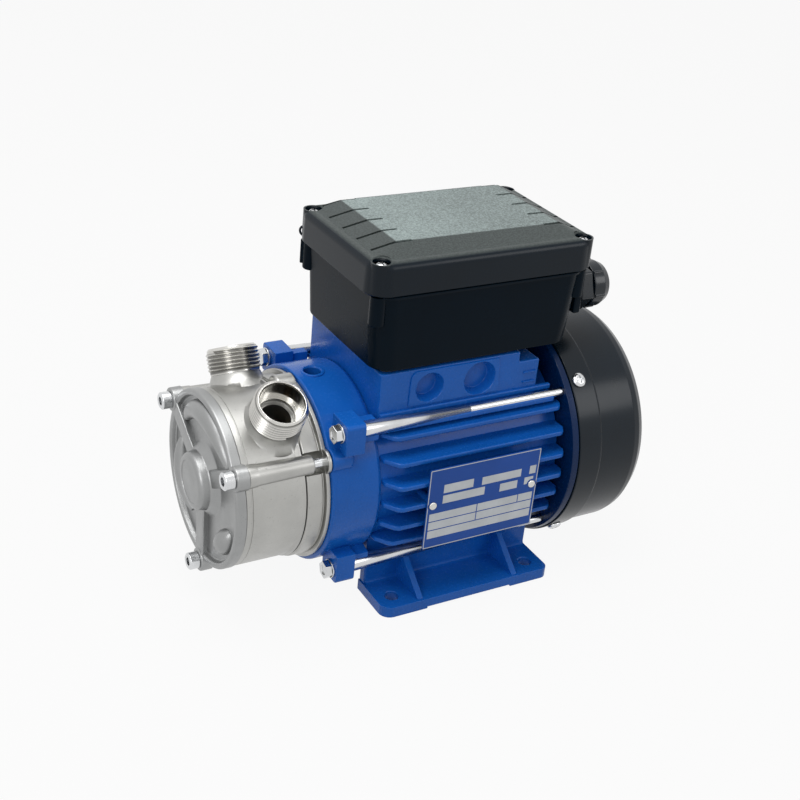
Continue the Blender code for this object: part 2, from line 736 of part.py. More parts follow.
def radial_bar(inner, outer, half, turn):
    """The YZ outline of a straight bar that stands out from the shaft axis."""
    outline = []
    for radius, side in ((inner, -half), (outer, -half), (outer, half), (inner, half)):
        across = radius * math.cos(turn) - side * math.sin(turn)
        up = SHAFT_HEIGHT + radius * math.sin(turn) + side * math.cos(turn)
        outline.append((across, up))
    return outline


def arm_outline(angle):
    """One arm of the front cover, from the hub out to a screw, narrowing on its way."""
    turn = math.radians(angle)
    hub_r = HUB_DIA / 2
    half_widths = [
        (hub_r - 1.5, ARM_ROOT_WIDTH / 2),
        (hub_r + ARM_KNEE, ARM_KNEE_WIDTH / 2),
        (PUMP_SCREW_RADIUS - ARM_END_GAP, ARM_END_WIDTH / 2),
    ]
    outline = []
    for radius, half in half_widths + [(r, -h) for r, h in reversed(half_widths)]:
        across = -radius * math.cos(turn) + half * math.sin(turn)
        up = SHAFT_HEIGHT + radius * math.sin(turn) + half * math.cos(turn)
        outline.append((across, up))
    return outline


def add_front_cover():
    """The cast front cover with its hub, rim, three arms, channel bulge and screw ears."""
    cover_r = PUMP_R
    hub_r = HUB_DIA / 2
    inner_r = BUSH_OUTER / 2 + PRESS_GAP
    pocket = HUB_FRONT_X + HUB_FACE
    cover = revolve("front_cover", [
        (SEAM_X, CHAMBER_R - JOINT_GAP),
        (SEAM_X, cover_r),
        (COVER_X + 1.0, cover_r),
        (COVER_X, cover_r - 1.0),
        (COVER_X, cover_r - RIM_WIDTH),
        (RECESS_X, cover_r - RIM_WIDTH - 1.0),
        (RECESS_X, hub_r + 1.5),
        (COVER_X - 0.6, hub_r + 0.3),
        (HUB_FRONT_X + 2.2, hub_r - 0.4),
        (HUB_FRONT_X + 0.7, hub_r - 1.1),
        (HUB_FRONT_X, hub_r - 2.6),
        (HUB_FRONT_X, 0),
        (pocket, 0),
        (pocket, inner_r),
        (SPIGOT_X, inner_r),
        (SPIGOT_X, CHAMBER_R - JOINT_GAP),
    ], "cast_stainless")
    for number, angle in enumerate(PUMP_SCREW_ANGLES, 1):
        at = on_circle(PUMP_SCREW_RADIUS, angle)
        web = prism(f"cover_arm_{number}", arm_outline(angle), COVER_X - 0.3, RECESS_X + 1.5, "X")
        ear = rod(f"cover_ear_{number}", PUMP_EAR_FRONT, SEAM_X - EMBED, PUMP_EAR_DIA / 2, at, RING_STEPS)
        join(cover, web, ear)
    radius = PUMP_R - CHANNEL_INSET
    middle = RECESS_X + CHANNEL_LIFT
    back = SPIGOT_X - 0.5
    join(cover, channel_bead("cover_channel", radius, CHANNEL_BEAD, middle, back, CHANNEL_FROM, CHANNEL_TO))
    hole_r = PUMP_SCREW_DIA / 2 + SCREW_GAP
    for number, angle in enumerate(PUMP_SCREW_ANGLES, 1):
        at = on_circle(PUMP_SCREW_RADIUS, angle)
        cut(cover, rod(f"cover_hole_{number}", PUMP_EAR_FRONT - OVERCUT, SEAM_X + OVERCUT, hole_r, at))
    return cover


def port_profile():
    """The outside of a port along its own axis, from inside the wall to the mouth, with thread grooves."""
    crest = PORT_THREAD_DIA / 2
    depth = 0.64 * PORT_THREAD_PITCH
    start = PORT_MOUTH - PORT_THREAD_LENGTH
    inside = CHAMBER_R + 1.5
    profile = [(inside, 0), (inside, PORT_NECK_DIA / 2), (start - 0.6, PORT_NECK_DIA / 2)]
    turns = int(PORT_THREAD_LENGTH / PORT_THREAD_PITCH)
    for i in range(turns):
        base = start + PORT_THREAD_PITCH * i
        profile.append((base + 0.45 * PORT_THREAD_PITCH, crest))
        profile.append((base + 0.95 * PORT_THREAD_PITCH, crest - depth))
    profile[-1] = (PORT_MOUTH, crest - depth)
    profile.append((PORT_MOUTH, 0))
    return profile


def port_turn(side):
    """The rotation that lays +Z of a port along its own leaning axis."""
    return (math.radians(PORT_ANGLE) * side, 0.0, 0.0)


def add_pump_body():
    """The cast pump body with two threaded ports, three screw sleeves and the inner walls."""
    body_r = BODY_R
    chamber_r = CHAMBER_R
    front = SEAM_X + JOINT_GAP
    wall_rear = DIVIDER_X + DIVIDER_THICK
    sleeve_r = SEAL_OUTER / 2 + 2.0
    body = revolve("pump_body", [
        (front, chamber_r),
        (front, body_r - 0.5),
        (front + 0.5, body_r),
        (BODY_REAR, body_r),
        (BODY_REAR, chamber_r),
        (wall_rear, chamber_r),
        (wall_rear, SHAFT_R + 4.0),
        (DIVIDER_X, SHAFT_R + 4.0),
        (DIVIDER_X, chamber_r),
    ], "cast_stainless")
    axis_at = (PORT_X, 0.0, SHAFT_HEIGHT)
    for name, side in (("near", 1), ("far", -1)):
        join(body, revolve(f"port_{name}", port_profile(), None, THREAD_STEPS, axis_at, port_turn(side)))
    band_r = PLATE_BAND_R + JOINT_GAP
    cut(body, cylinder("plate_room", PLATE_BAND_FRONT - 0.15, PLATE_REAR, band_r, ROUND_STEPS, phase=0.0))
    for number, angle in enumerate(PUMP_SCREW_ANGLES, 1):
        at = on_circle(PUMP_SCREW_RADIUS, angle)
        join(body, rod(f"body_sleeve_{number}", front + EMBED, BOSS_REAR, BOSS_DIA / 2, at, RING_STEPS))
    rib_half = 1.5
    for number, sign in enumerate((1, -1), 1):
        inner = SHAFT_HEIGHT + sign * sleeve_r
        outer = SHAFT_HEIGHT + sign * (chamber_r + 1.0)
        low = (wall_rear - 1.0, -rib_half, min(inner, outer))
        high = (PLATE_HUB_FRONT - 0.3, rib_half, max(inner, outer))
        join(body, block(f"body_rib_{number}", low, high))
    for name, side in (("near", 1), ("far", -1)):
        step = PORT_MOUTH - PORT_LEDGE_DEPTH
        ledge = step - PORT_LEDGE_THICK
        bore = revolve(f"port_bore_{name}", [
            (sleeve_r + 6.0, 0),
            (sleeve_r + 6.0, PORT_THROAT / 2),
            (ledge, PORT_THROAT / 2),
            (ledge, PORT_LEDGE / 2),
            (step, PORT_LEDGE / 2),
            (step, PORT_BORE / 2),
            (PORT_MOUTH - 0.4, PORT_BORE / 2),
            (PORT_MOUTH + 0.4, PORT_BORE / 2 + 0.8),
            (PORT_MOUTH + 2.0, PORT_BORE / 2 + 0.8),
            (PORT_MOUTH + 2.0, 0),
        ], None, THREAD_STEPS, axis_at, port_turn(side))
        cut(body, bore)
    for number, angle in enumerate(PUMP_SCREW_ANGLES, 1):
        at = on_circle(PUMP_SCREW_RADIUS, angle)
        hole_r = PUMP_SCREW_DIA / 2 + SCREW_GAP
        cut(body, rod(f"body_hole_{number}", front - OVERCUT, BOSS_REAR + OVERCUT, hole_r, at))
    for name, angle in (("inlet", 205.0), ("outlet", 335.0)):
        at = on_circle(chamber_r - WINDOW_INSET, angle)
        window_r = WINDOW_DIA / 2
        cut(body, rod(f"{name}_window", DIVIDER_X - OVERCUT, wall_rear + OVERCUT, window_r, at, RING_STEPS))
    groove_r = O_RING_RADIUS
    half = O_RING_DIA / 2 + 0.1
    cut(body, revolve("front_groove", [
        (front - 2.0, groove_r - half),
        (front - 2.0, groove_r + half),
        (front + O_RING_DIA, groove_r + half),
        (front + O_RING_DIA, groove_r - half),
    ], phase=0.0))
    return body


def add_back_plate():
    """The plate that closes the body towards the motor and holds the stationary half of the seal."""
    band_r = PLATE_BAND_R
    chamber_r = CHAMBER_R
    seat_r = SEAL_OUTER / 2 + PRESS_GAP
    hub_front = PLATE_HUB_FRONT
    shelf = hub_front + SEAT_LENGTH + 0.2
    plate = revolve("back_plate", [
        (PLATE_BAND_FRONT, chamber_r - 3.0),
        (PLATE_BAND_FRONT, band_r - 1.0),
        (PLATE_BAND_FRONT + 1.0, band_r),
        (PLATE_FLANGE_FRONT, band_r),
        (PLATE_FLANGE_FRONT, PLATE_BAND_R + PLATE_FLANGE_STEP),
        (PLATE_REAR, PLATE_BAND_R + PLATE_FLANGE_STEP),
        (PLATE_REAR, SHAFT_R + 2.0),
        (shelf, SHAFT_R + 2.0),
        (shelf, seat_r),
        (hub_front, seat_r),
        (hub_front, seat_r + 3.0),
        (shelf, seat_r + 3.4),
        (shelf, chamber_r - 3.4),
    ], "cast_stainless")
    lug_y, lug_z = on_circle(PLATE_BAND_R - TOP_LUG_INSET, 90.0)
    lug = revolve("plate_top_lug", [
        (PLATE_BAND_FRONT + EMBED, 0),
        (PLATE_BAND_FRONT + EMBED, TOP_LUG_DIA / 2 - 1.5),
        (PLATE_BAND_FRONT + EMBED + 1.5, TOP_LUG_DIA / 2),
        (PLATE_REAR - EMBED, TOP_LUG_DIA / 2),
        (PLATE_REAR - EMBED, 0),
    ], None, RING_STEPS, (0.0, lug_y, lug_z))
    join(plate, lug)
    for number, angle in enumerate(PUMP_SCREW_ANGLES, 1):
        at = on_circle(PUMP_SCREW_RADIUS, angle)
        notch_end = PLATE_FLANGE_FRONT + EMBED
        notch_r = BOSS_DIA / 2 + 0.4
        notch = rod(f"plate_notch_{number}", PLATE_BAND_FRONT - OVERCUT, notch_end, notch_r, at, RING_STEPS)
        ear_r = BOSS_DIA / 2 + 0.8
        ear = rod(f"plate_ear_{number}", PLATE_FLANGE_FRONT + 0.2, PLATE_REAR - 0.2, ear_r, at, RING_STEPS)
        hole_r = PUMP_SCREW_DIA / 2 + SCREW_GAP
        hole = rod(f"plate_hole_{number}", PLATE_BAND_FRONT - OVERCUT, PLATE_REAR + OVERCUT, hole_r, at)
        cut(plate, notch)
        join(plate, ear)
        cut(plate, hole)
    half = O_RING_DIA / 2 + 0.1
    cut(plate, revolve("rear_groove", [
        (PLATE_BAND_FRONT - 2.0, O_RING_RADIUS - half),
        (PLATE_BAND_FRONT - 2.0, O_RING_RADIUS + half),
        (PLATE_BAND_FRONT + O_RING_DIA, O_RING_RADIUS + half),
        (PLATE_BAND_FRONT + O_RING_DIA, O_RING_RADIUS - half),
    ], phase=0.0))
    return plate


def add_impeller():
    """The star impeller: a hub with straight radial vanes and a thin web between them."""
    hub_r = IMPELLER_HUB_DIA / 2
    bore_r = SHAFT_R + PRESS_GAP
    middle = (IMPELLER_FRONT + IMPELLER_REAR) / 2
    web = IMPELLER_WEB / 2
    web_r = (hub_r + IMPELLER_R) / 2 + 0.5
    blend = (web_r - hub_r) * 0.3
    impeller = revolve("impeller", [
        (IMPELLER_FRONT, bore_r),
        (IMPELLER_FRONT, hub_r),
        (middle - web, hub_r + blend),
        (middle - web, web_r),
        (middle + web, web_r),
        (middle + web, hub_r + blend),
        (IMPELLER_REAR, hub_r),
        (IMPELLER_REAR, bore_r),
    ], "brass", SHAFT_STEPS)
    half = IMPELLER_VANE_THICK / 2
    for number in range(IMPELLER_VANES):
        turn = 2 * math.pi * number / IMPELLER_VANES
        outline = radial_bar(hub_r - 2.0, IMPELLER_R, half, turn)
        join(impeller, prism(f"vane_{number}", outline, IMPELLER_FRONT, IMPELLER_REAR, "X"))
    return impeller


def o_ring(name, x):
    """A round-section ring in the seam between body and cover or plate."""
    r = O_RING_DIA / 2
    section = []
    for i in range(6):
        turn = 2 * math.pi * (i + 0.5) / 6
        section.append((x + r * math.cos(turn), O_RING_RADIUS + r * math.sin(turn)))
    return revolve(name, section, "rubber")


def ring(name, start, end, inner, outer, look, steps=RING_STEPS, bevel=0.0):
    """A plain turned ring, with its outer edges eased."""
    profile = [(start, inner), (start, outer - bevel)]
    if bevel:
        profile += [(start + bevel, outer), (end - bevel, outer)]
    profile += [(end, outer - bevel), (end, inner)]
    if not bevel:
        profile = [(start, inner), (start, outer), (end, outer), (end, inner)]
    return revolve(name, profile, look, steps)


def add_pump_inside():
    """The small turned pieces of the pump end."""
    bush_start = HUB_FRONT_X + HUB_FACE + JOINT_GAP
    nose_r = SHAFT_NOSE_DIA / 2
    bush_rear = bush_start + BUSH_LENGTH
    ring("shaft_bush", bush_start, bush_rear, nose_r + 0.1, BUSH_OUTER / 2, "carbon", SHAFT_STEPS, 0.5)
    nut_rear = IMPELLER_FRONT - JOINT_GAP
    bore_r = SHAFT_R + PRESS_GAP
    ring("impeller_ring", nut_rear - NUT_THICK, nut_rear, bore_r, NUT_DIA / 2, "steel", SHAFT_STEPS)
    seat_front = PLATE_HUB_FRONT
    seat_rear = seat_front + SEAT_LENGTH
    ring("seal_seat", seat_front, seat_rear, SHAFT_R + 1.0, SEAL_OUTER / 2, "white_plastic", RING_STEPS, 0.5)
    head_rear = seat_front - 0.1
    head_front = head_rear - SEAL_HEAD_LENGTH
    ring("seal_head", head_front, head_rear, bore_r, SEAL_OUTER / 2 - 2.0, "carbon", SHAFT_STEPS, 0.6)
    space = head_front - (IMPELLER_REAR + 0.3)
    add_spring(IMPELLER_REAR + 0.3, space - 0.3)
    o_ring("front_o_ring", SEAM_X + JOINT_GAP + O_RING_DIA / 2 - 0.1)
    o_ring("rear_o_ring", PLATE_BAND_FRONT + O_RING_DIA / 2 - 0.1)
    revolve("slinger", [
        (SLINGER_X, bore_r),
        (SLINGER_X, SLINGER_DIA / 2 - 6.0),
        (SLINGER_X - 1.2, SLINGER_DIA / 2),
        (SLINGER_X + 0.6, SLINGER_DIA / 2),
        (SLINGER_X + SLINGER_THICK, SHAFT_R + 3.0),
        (SLINGER_X + SLINGER_THICK, bore_r),
    ], "rubber", SHAFT_STEPS)


def add_spring(start, length):
    """The seal spring, a round wire wound between the impeller and the seal head."""
    wire_r = SPRING_DIA / 2
    coil_r = SHAFT_R + wire_r + 0.6
    per_turn = 12
    count = SPRING_TURNS * per_turn
    travel = length - SPRING_DIA
    places = []
    for i in range(count + 1):
        turn = 2 * math.pi * i / per_turn
        places.append((start + wire_r + travel * i / count, coil_r * math.cos(turn), coil_r * math.sin(turn)))
    return bead("seal_spring", places, wire_r, None, "steel", ON_SHAFT)


def add_cover_screws():
    """Three long socket-head screws that clamp cover, body and plate to the motor flange."""
    for number, angle in enumerate(PUMP_SCREW_ANGLES, 1):
        y, z = on_circle(PUMP_SCREW_RADIUS, angle)
        seat = PUMP_EAR_FRONT - JOINT_GAP
        head = PUMP_SCREW_HEAD / 2
        screw = revolve(f"cover_screw_{number}", [
            (PUMP_SCREW_END, 0),
            (PUMP_SCREW_END, PUMP_SCREW_DIA / 2),
            (seat, PUMP_SCREW_DIA / 2),
            (seat, head),
            (seat - PUMP_SCREW_HEAD_LENGTH + 0.6, head),
            (seat - PUMP_SCREW_HEAD_LENGTH, head - 0.6),
            (seat - PUMP_SCREW_HEAD_LENGTH, 0),
        ], "zinc", 12, (0.0, y, z))
        socket = prism(
            f"socket_{number}",
            hexagon(PUMP_SCREW_SOCKET, (y, z)),
            seat - PUMP_SCREW_HEAD_LENGTH - 1.0,
            seat - PUMP_SCREW_HEAD_LENGTH + 2.6,
            "X",
        )
        cut(screw, socket)


def add_motor_flange():
    """The drive-end flange between pump and motor, with the front bearing seat and the tie-rod ears."""
    r = FLANGE_R
    inner = r - FLANGE_WALL
    face_rear = FLANGE_FRONT + FLANGE_FACE_THICK
    seat_r = BEARING_R + PRESS_GAP
    hub_r = seat_r + BEARING_HUB_WALL
    seat_front = FRONT_BEARING_X - JOINT_GAP
    web_front = seat_front - BEARING_LIP
    web_rear = web_front + FLANGE_WEB_THICK
    rear = HOUSING_FRONT - JOINT_GAP
    flange = revolve("motor_flange", [
        (FLANGE_FRONT, SHAFT_R + 2.0),
        (FLANGE_FRONT, r),
        (rear, r),
        (rear, BORE_R - PRESS_GAP),
        (rear + SPIGOT_DEPTH, BORE_R - PRESS_GAP),
        (rear + SPIGOT_DEPTH, BORE_R - FLANGE_LIP),
        (web_rear, BORE_R - FLANGE_LIP),
        (web_rear, hub_r),
        (FRONT_BEARING_X + BEARING_WIDTH, hub_r),
        (FRONT_BEARING_X + BEARING_WIDTH, seat_r),
        (seat_front, seat_r),
        (seat_front, BEARING_BORE / 2 + 3.2),
        (web_front, BEARING_BORE / 2 + 3.2),
        (web_front, inner),
        (face_rear, inner),
        (face_rear, SHAFT_R + 2.0),
    ], "blue_enamel")
    for number, angle in enumerate(PUMP_SCREW_ANGLES, 1):
        y, z = on_circle(PUMP_SCREW_RADIUS, angle)
        end = PUMP_SCREW_END + 1.2
        boss = revolve(f"flange_boss_{number}", [
            (FLANGE_FRONT + EMBED, 0),
            (FLANGE_FRONT + EMBED, BOSS_DIA / 2),
            (end - 1.0, BOSS_DIA / 2),
            (end + 0.8, BOSS_DIA / 2 - 1.8),
            (end + 0.8, 0),
        ], None, RING_STEPS, (0.0, y, z))
        join(flange, boss)
    half = TIE_EAR_WIDTH / 2
    for number, angle in enumerate(TIE_ANGLES, 1):
        y, z = on_circle(TIE_ROD_RADIUS, angle)
        side = 1 if y > 0 else -1
        rise = 1 if z > SHAFT_HEIGHT else -1
        low_y, high_y = sorted((y - side * half * 1.6, y + side * half))
        low_z, high_z = sorted((z - rise * half * 1.6, z + rise * half))
        ear = block(f"tie_ear_{number}", (TIE_EAR_FRONT, low_y, low_z), (TIE_EAR_REAR, high_y, high_z))
        join(flange, ear)
    for number, angle in enumerate(TIE_ANGLES, 1):
        y, z = on_circle(TIE_ROD_RADIUS, angle)
        hole_r = TIE_ROD_DIA / 2 + SCREW_GAP
        cut(flange, rod(f"tie_ear_hole_{number}", TIE_EAR_FRONT - 3, HOUSING_FRONT + 3, hole_r, (y, z)))
    for number, angle in enumerate(PUMP_SCREW_ANGLES, 1):
        at = on_circle(PUMP_SCREW_RADIUS, angle)
        hole_r = PUMP_SCREW_DIA / 2 + SCREW_GAP
        cut(flange, rod(f"flange_hole_{number}", FLANGE_FRONT - 3, PUMP_SCREW_END + 0.5, hole_r, at, 12))
    drain = cylinder(
        "drain_hole",
        inner - 3.0,
        r + 3.0,
        DRAIN_DIA / 2,
        RING_STEPS,
        (DRAIN_X, 0.0, SHAFT_HEIGHT),
        ALONG_Z,
    )
    cut(flange, drain)
    return flange


def fin_outline(side, inner, tip):
    """One horizontal fin from above, with its ends scooped back from the tip."""
    return [
        (HOUSING_FRONT + 0.2, side * inner),
        (HOUSING_FRONT + 0.2, side * (tip - FIN_SCOOP)),
        (HOUSING_FRONT + FIN_SCOOP * 0.4, side * (tip - FIN_SCOOP * 0.3)),
        (HOUSING_FRONT + FIN_SCOOP, side * tip),
        (HOUSING_REAR - FIN_SCOOP * 0.6, side * tip),
        (HOUSING_REAR - 0.2, side * (tip - FIN_SCOOP * 0.8)),
        (HOUSING_REAR - 0.2, side * inner),
    ]


def add_motor_housing():
    """The die-cast housing: barrel, side fins, terminal pedestal and feet in one piece."""
    spigot_r = BORE_R + PRESS_GAP
    housing = revolve("motor_housing", [
        (HOUSING_FRONT, 0),
        (HOUSING_FRONT, BARREL_R),
        (HOUSING_REAR, BARREL_R),
        (HOUSING_REAR, 0),
    ], "blue_enamel")
    for side, label in ((-1, "near"), (1, "far")):
        for number, height in enumerate(FIN_HEIGHTS, 1):
            reach = math.sqrt(FIN_TIP_R**2 - height**2)
            inner = math.sqrt(BARREL_R**2 - height**2) - FIN_ROOT
            outline = fin_outline(side, inner, reach)
            z = SHAFT_HEIGHT + height
            fin = prism(f"fin_{label}_{number}", outline, z - FIN_THICK / 2, z + FIN_THICK / 2, "Z")
            join(housing, fin)
    half = PEDESTAL_HALF_WIDTH
    pedestal_low = SHAFT_HEIGHT + math.sqrt(BARREL_R**2 - half**2) - PEDESTAL_ROOT
    front = HOUSING_FRONT + EMBED
    side_outline = [
        (front, pedestal_low),
        (PEDESTAL_EAR_REAR, pedestal_low),
        (PEDESTAL_EAR_REAR, PEDESTAL_TOP - PEDESTAL_EAR_DROP),
        (PEDESTAL_REAR, PEDESTAL_TOP - PEDESTAL_EAR_DROP),
        (PEDESTAL_REAR, PEDESTAL_TOP),
        (front, PEDESTAL_TOP),
    ]
    pedestal = prism("pedestal", side_outline, -half, half, "Y")
    ledge_z = PEDESTAL_TOP - PEDESTAL_LEDGE_DROP
    ledge_y = half + PEDESTAL_LEDGE_REACH
    ledge_rear = PEDESTAL_EAR_REAR + PEDESTAL_LEDGE_TAIL
    ledge_low = (front + EMBED, -ledge_y, ledge_z)
    ledge = block("pedestal_ledge", ledge_low, (ledge_rear, ledge_y, ledge_z + PEDESTAL_LEDGE))
    join(housing, pedestal, ledge)
    add_feet(housing)
    cut(housing, cylinder(
        "housing_bore",
        HOUSING_FRONT - OVERCUT,
        HOUSING_REAR + OVERCUT,
        spigot_r,
        ROUND_STEPS,
        phase=0.0,
    ))
    cut(housing, block(
        "cable_window",
        (WINDOW_X - CABLE_WINDOW_X / 2, -CABLE_WINDOW_Y / 2, pedestal_low + 6.0),
        (WINDOW_X + CABLE_WINDOW_X / 2, CABLE_WINDOW_Y / 2, PEDESTAL_TOP + OVERCUT),
    ))
    for side, label in ((-1, "near"), (1, "far")):
        for number, x in enumerate(KNOCKOUT_PLACES, 1):
            knockout = cylinder(
                f"knockout_{label}_{number}",
                half - KNOCKOUT_DEPTH,
                half + 4.0,
                (KNOCKOUT_DIA + KNOCKOUT_STEP * (number - 1)) / 2,
                RING_STEPS,
                (x, 0.0, KNOCKOUT_HEIGHT),
                (-side * math.pi / 2, 0.0, 0.0),
            )
            cut(housing, knockout)
    for number, side in enumerate((-1, 1), 1):
        x = WINDOW_X + side * BOX_SCREW_X
        hole = cylinder(
            f"pedestal_hole_{number}",
            PEDESTAL_TOP - 8.0,
            PEDESTAL_TOP + 3.0,
            BOX_SCREW_DIA / 2 + SCREW_GAP,
            SMALL_STEPS,
            (x, 0.0, 0.0),
            ALONG_Z,
        )
        cut(housing, hole)
    for number, x in enumerate((PLATE_LOW_X + RIVET_INSET, PLATE_HIGH_X - RIVET_INSET), 1):
        y_tip = math.sqrt(FIN_TIP_R**2 - FIN_HEIGHTS[PLATE_FIN] ** 2)
        z = SHAFT_HEIGHT + FIN_HEIGHTS[PLATE_FIN]
        boss = cylinder(
            f"rivet_boss_{number}",
            BARREL_R - OVERCUT,
            y_tip + 0.1,
            RIVET_HEAD / 2,
            SMALL_STEPS,
            (x, 0.0, z),
            (math.pi / 2, 0.0, 0.0),
        )
        hole = cylinder(
            f"rivet_hole_{number}",
            y_tip - RIVET_DEPTH - 0.4,
            y_tip + OVERCUT,
            RIVET_DIA / 2 + 0.1,
            SMALL_STEPS,
            (x, 0.0, z),
            (math.pi / 2, 0.0, 0.0),
        )
        join(housing, boss)
        cut(housing, hole)
    return housing


def add_feet(housing):
    """Two cast feet with their webs and gussets, joined to the barrel."""
    front = FOOT_HOLES_FRONT - FOOT_END_EDGE
    rear = FOOT_HOLES_REAR + FOOT_END_EDGE
    half_y = FOOT_HOLES_Y / 2 + FOOT_SIDE_EDGE
    inner = WEB_HALF_WIDTH - WEB_THICK
    for side, label in ((-1, "near"), (1, "far")):
        plan = [
            (front, side * inner),
            (front, side * (half_y - FOOT_CORNER)),
            (front + FOOT_CORNER * 0.3, side * (half_y - FOOT_CORNER * 0.3)),
            (front + FOOT_CORNER, side * half_y),
            (rear - FOOT_CORNER, side * half_y),
            (rear - FOOT_CORNER * 0.3, side * (half_y - FOOT_CORNER * 0.3)),
            (rear, side * (half_y - FOOT_CORNER)),
            (rear, side * inner),
        ]
        plate = prism(f"foot_plate_{label}", plan, 0.0, FOOT_THICK, "Z")
        web_top = SHAFT_HEIGHT - math.sqrt(BARREL_R**2 - WEB_HALF_WIDTH**2) + WEB_ROOT
        low_y, high_y = sorted((side * (inner + EMBED), side * WEB_HALF_WIDTH))
        low = (front + EMBED, low_y, FOOT_THICK - 2.0)
        high = (rear - EMBED, high_y, web_top)
        web = block(f"foot_web_{label}", low, high)
        join(housing, plate, web)
        for number, x in enumerate(GUSSET_PLACES, 1):
            outline = [
                (side * (WEB_HALF_WIDTH - 2.0), FOOT_THICK - 2.0),
                (side * (half_y - 1.5), FOOT_THICK - 2.0),
                (side * (half_y - 1.5), FOOT_THICK + 0.5),
                (side * (WEB_HALF_WIDTH + GUSSET_REACH), GUSSET_TOP),
                (side * (WEB_HALF_WIDTH - 2.0), GUSSET_TOP),
            ]
            half = GUSSET_THICK / 2
            gusset = prism(f"gusset_{label}_{number}", outline, x - half, x + half, "X")
            join(housing, gusset)
        for number, x in enumerate((FOOT_HOLES_FRONT, FOOT_HOLES_REAR), 1):
            hole = cylinder(
                f"foot_hole_{label}_{number}",
                -OVERCUT,
                FOOT_THICK + OVERCUT,
                FOOT_HOLE_DIA / 2,
                RING_STEPS,
                (x, side * FOOT_HOLES_Y / 2, 0.0),
                ALONG_Z,
            )
            cut(housing, hole)
    relief = block(
        "foot_relief",
        (FOOT_HOLES_FRONT + FOOT_RELIEF_INSET, -half_y - OVERCUT, -OVERCUT),
        (FOOT_HOLES_REAR - FOOT_RELIEF_INSET, half_y + OVERCUT, FOOT_RELIEF_DEPTH),
    )
    cut(housing, relief)


def add_tie_rods():
    """Four long hex-head tie rods that clamp flange, housing and rear shield together."""
    seat = TIE_EAR_FRONT - JOINT_GAP
    collar = seat - TIE_COLLAR_THICK
    end = SHIELD_RIM_REAR + TIE_REAR_DEPTH - 1.0
    for number, angle in enumerate(TIE_ANGLES, 1):
        y, z = on_circle(TIE_ROD_RADIUS, angle)
        bar = revolve(f"tie_rod_{number}", [
            (collar, 0),
            (collar, TIE_COLLAR_DIA / 2),
            (seat, TIE_COLLAR_DIA / 2),
            (seat, TIE_ROD_DIA / 2),
            (end - 0.5, TIE_ROD_DIA / 2),
            (end, TIE_ROD_DIA / 2 - 0.5),
            (end, 0),
        ], "zinc", SMALL_STEPS, (0.0, y, z))
        sides = hexagon(TIE_HEAD_WIDTH, (y, z), TIE_HEAD_TURN)
        join(bar, prism(f"tie_head_{number}", sides, collar - TIE_HEAD_THICK, collar + 0.4, "X"))


def add_rear_shield():
    """The non-drive shield with the rear bearing seat, held by the tie rods."""
    front = HOUSING_REAR + JOINT_GAP
    seat_r = BEARING_R + PRESS_GAP
    hub_r = seat_r + BEARING_HUB_WALL
    seat_rear = REAR_BEARING_X + BEARING_WIDTH + JOINT_GAP
    spigot = BORE_R - PRESS_GAP
    shield_r = SHIELD_SPIGOT_R
    shield = revolve("rear_shield", [
        (front - SPIGOT_DEPTH, spigot - 3.0),
        (front - SPIGOT_DEPTH, spigot),
        (front, spigot),
        (front, SHIELD_RIM_R),
        (SHIELD_RIM_REAR, SHIELD_RIM_R),
        (SHIELD_RIM_REAR, shield_r),
        (SHIELD_REAR, shield_r),
        (SHIELD_REAR, shield_r - SHIELD_WALL),
        (SHIELD_RIM_REAR + SHIELD_FACE_THICK, shield_r - SHIELD_WALL - 1.0),
        (SHIELD_RIM_REAR + SHIELD_FACE_THICK, hub_r + 1.0),
        (seat_rear + BEARING_LIP, hub_r),
        (seat_rear + BEARING_LIP, BEARING_BORE / 2 + 2.0),
        (seat_rear, BEARING_BORE / 2 + 2.0),
        (seat_rear, seat_r),
        (REAR_BEARING_X, seat_r),
        (REAR_BEARING_X, spigot - 3.0),
    ], "navy_enamel")
    for number, angle in enumerate(TIE_ANGLES, 1):
        at = on_circle(TIE_ROD_RADIUS, angle)
        hole_end = SHIELD_RIM_REAR + TIE_REAR_DEPTH
        hole_r = TIE_ROD_DIA / 2 + SCREW_GAP
        cut(shield, rod(f"shield_rod_hole_{number}", front - OVERCUT, hole_end, hole_r, at))
    for number in range(4):
        angle = COVER_SCREW_ANGLE + 90.0 * number
        hole = cylinder(
            f"shield_screw_hole_{number + 1}",
            shield_r - 6.0,
            shield_r + 3.0,
            COVER_SCREW_DIA / 2 + SCREW_GAP,
            SMALL_STEPS,
            (COVER_SCREW_X, 0.0, SHAFT_HEIGHT),
            (math.radians(angle), 0.0, 0.0),
        )
        cut(shield, hole)
    return shield


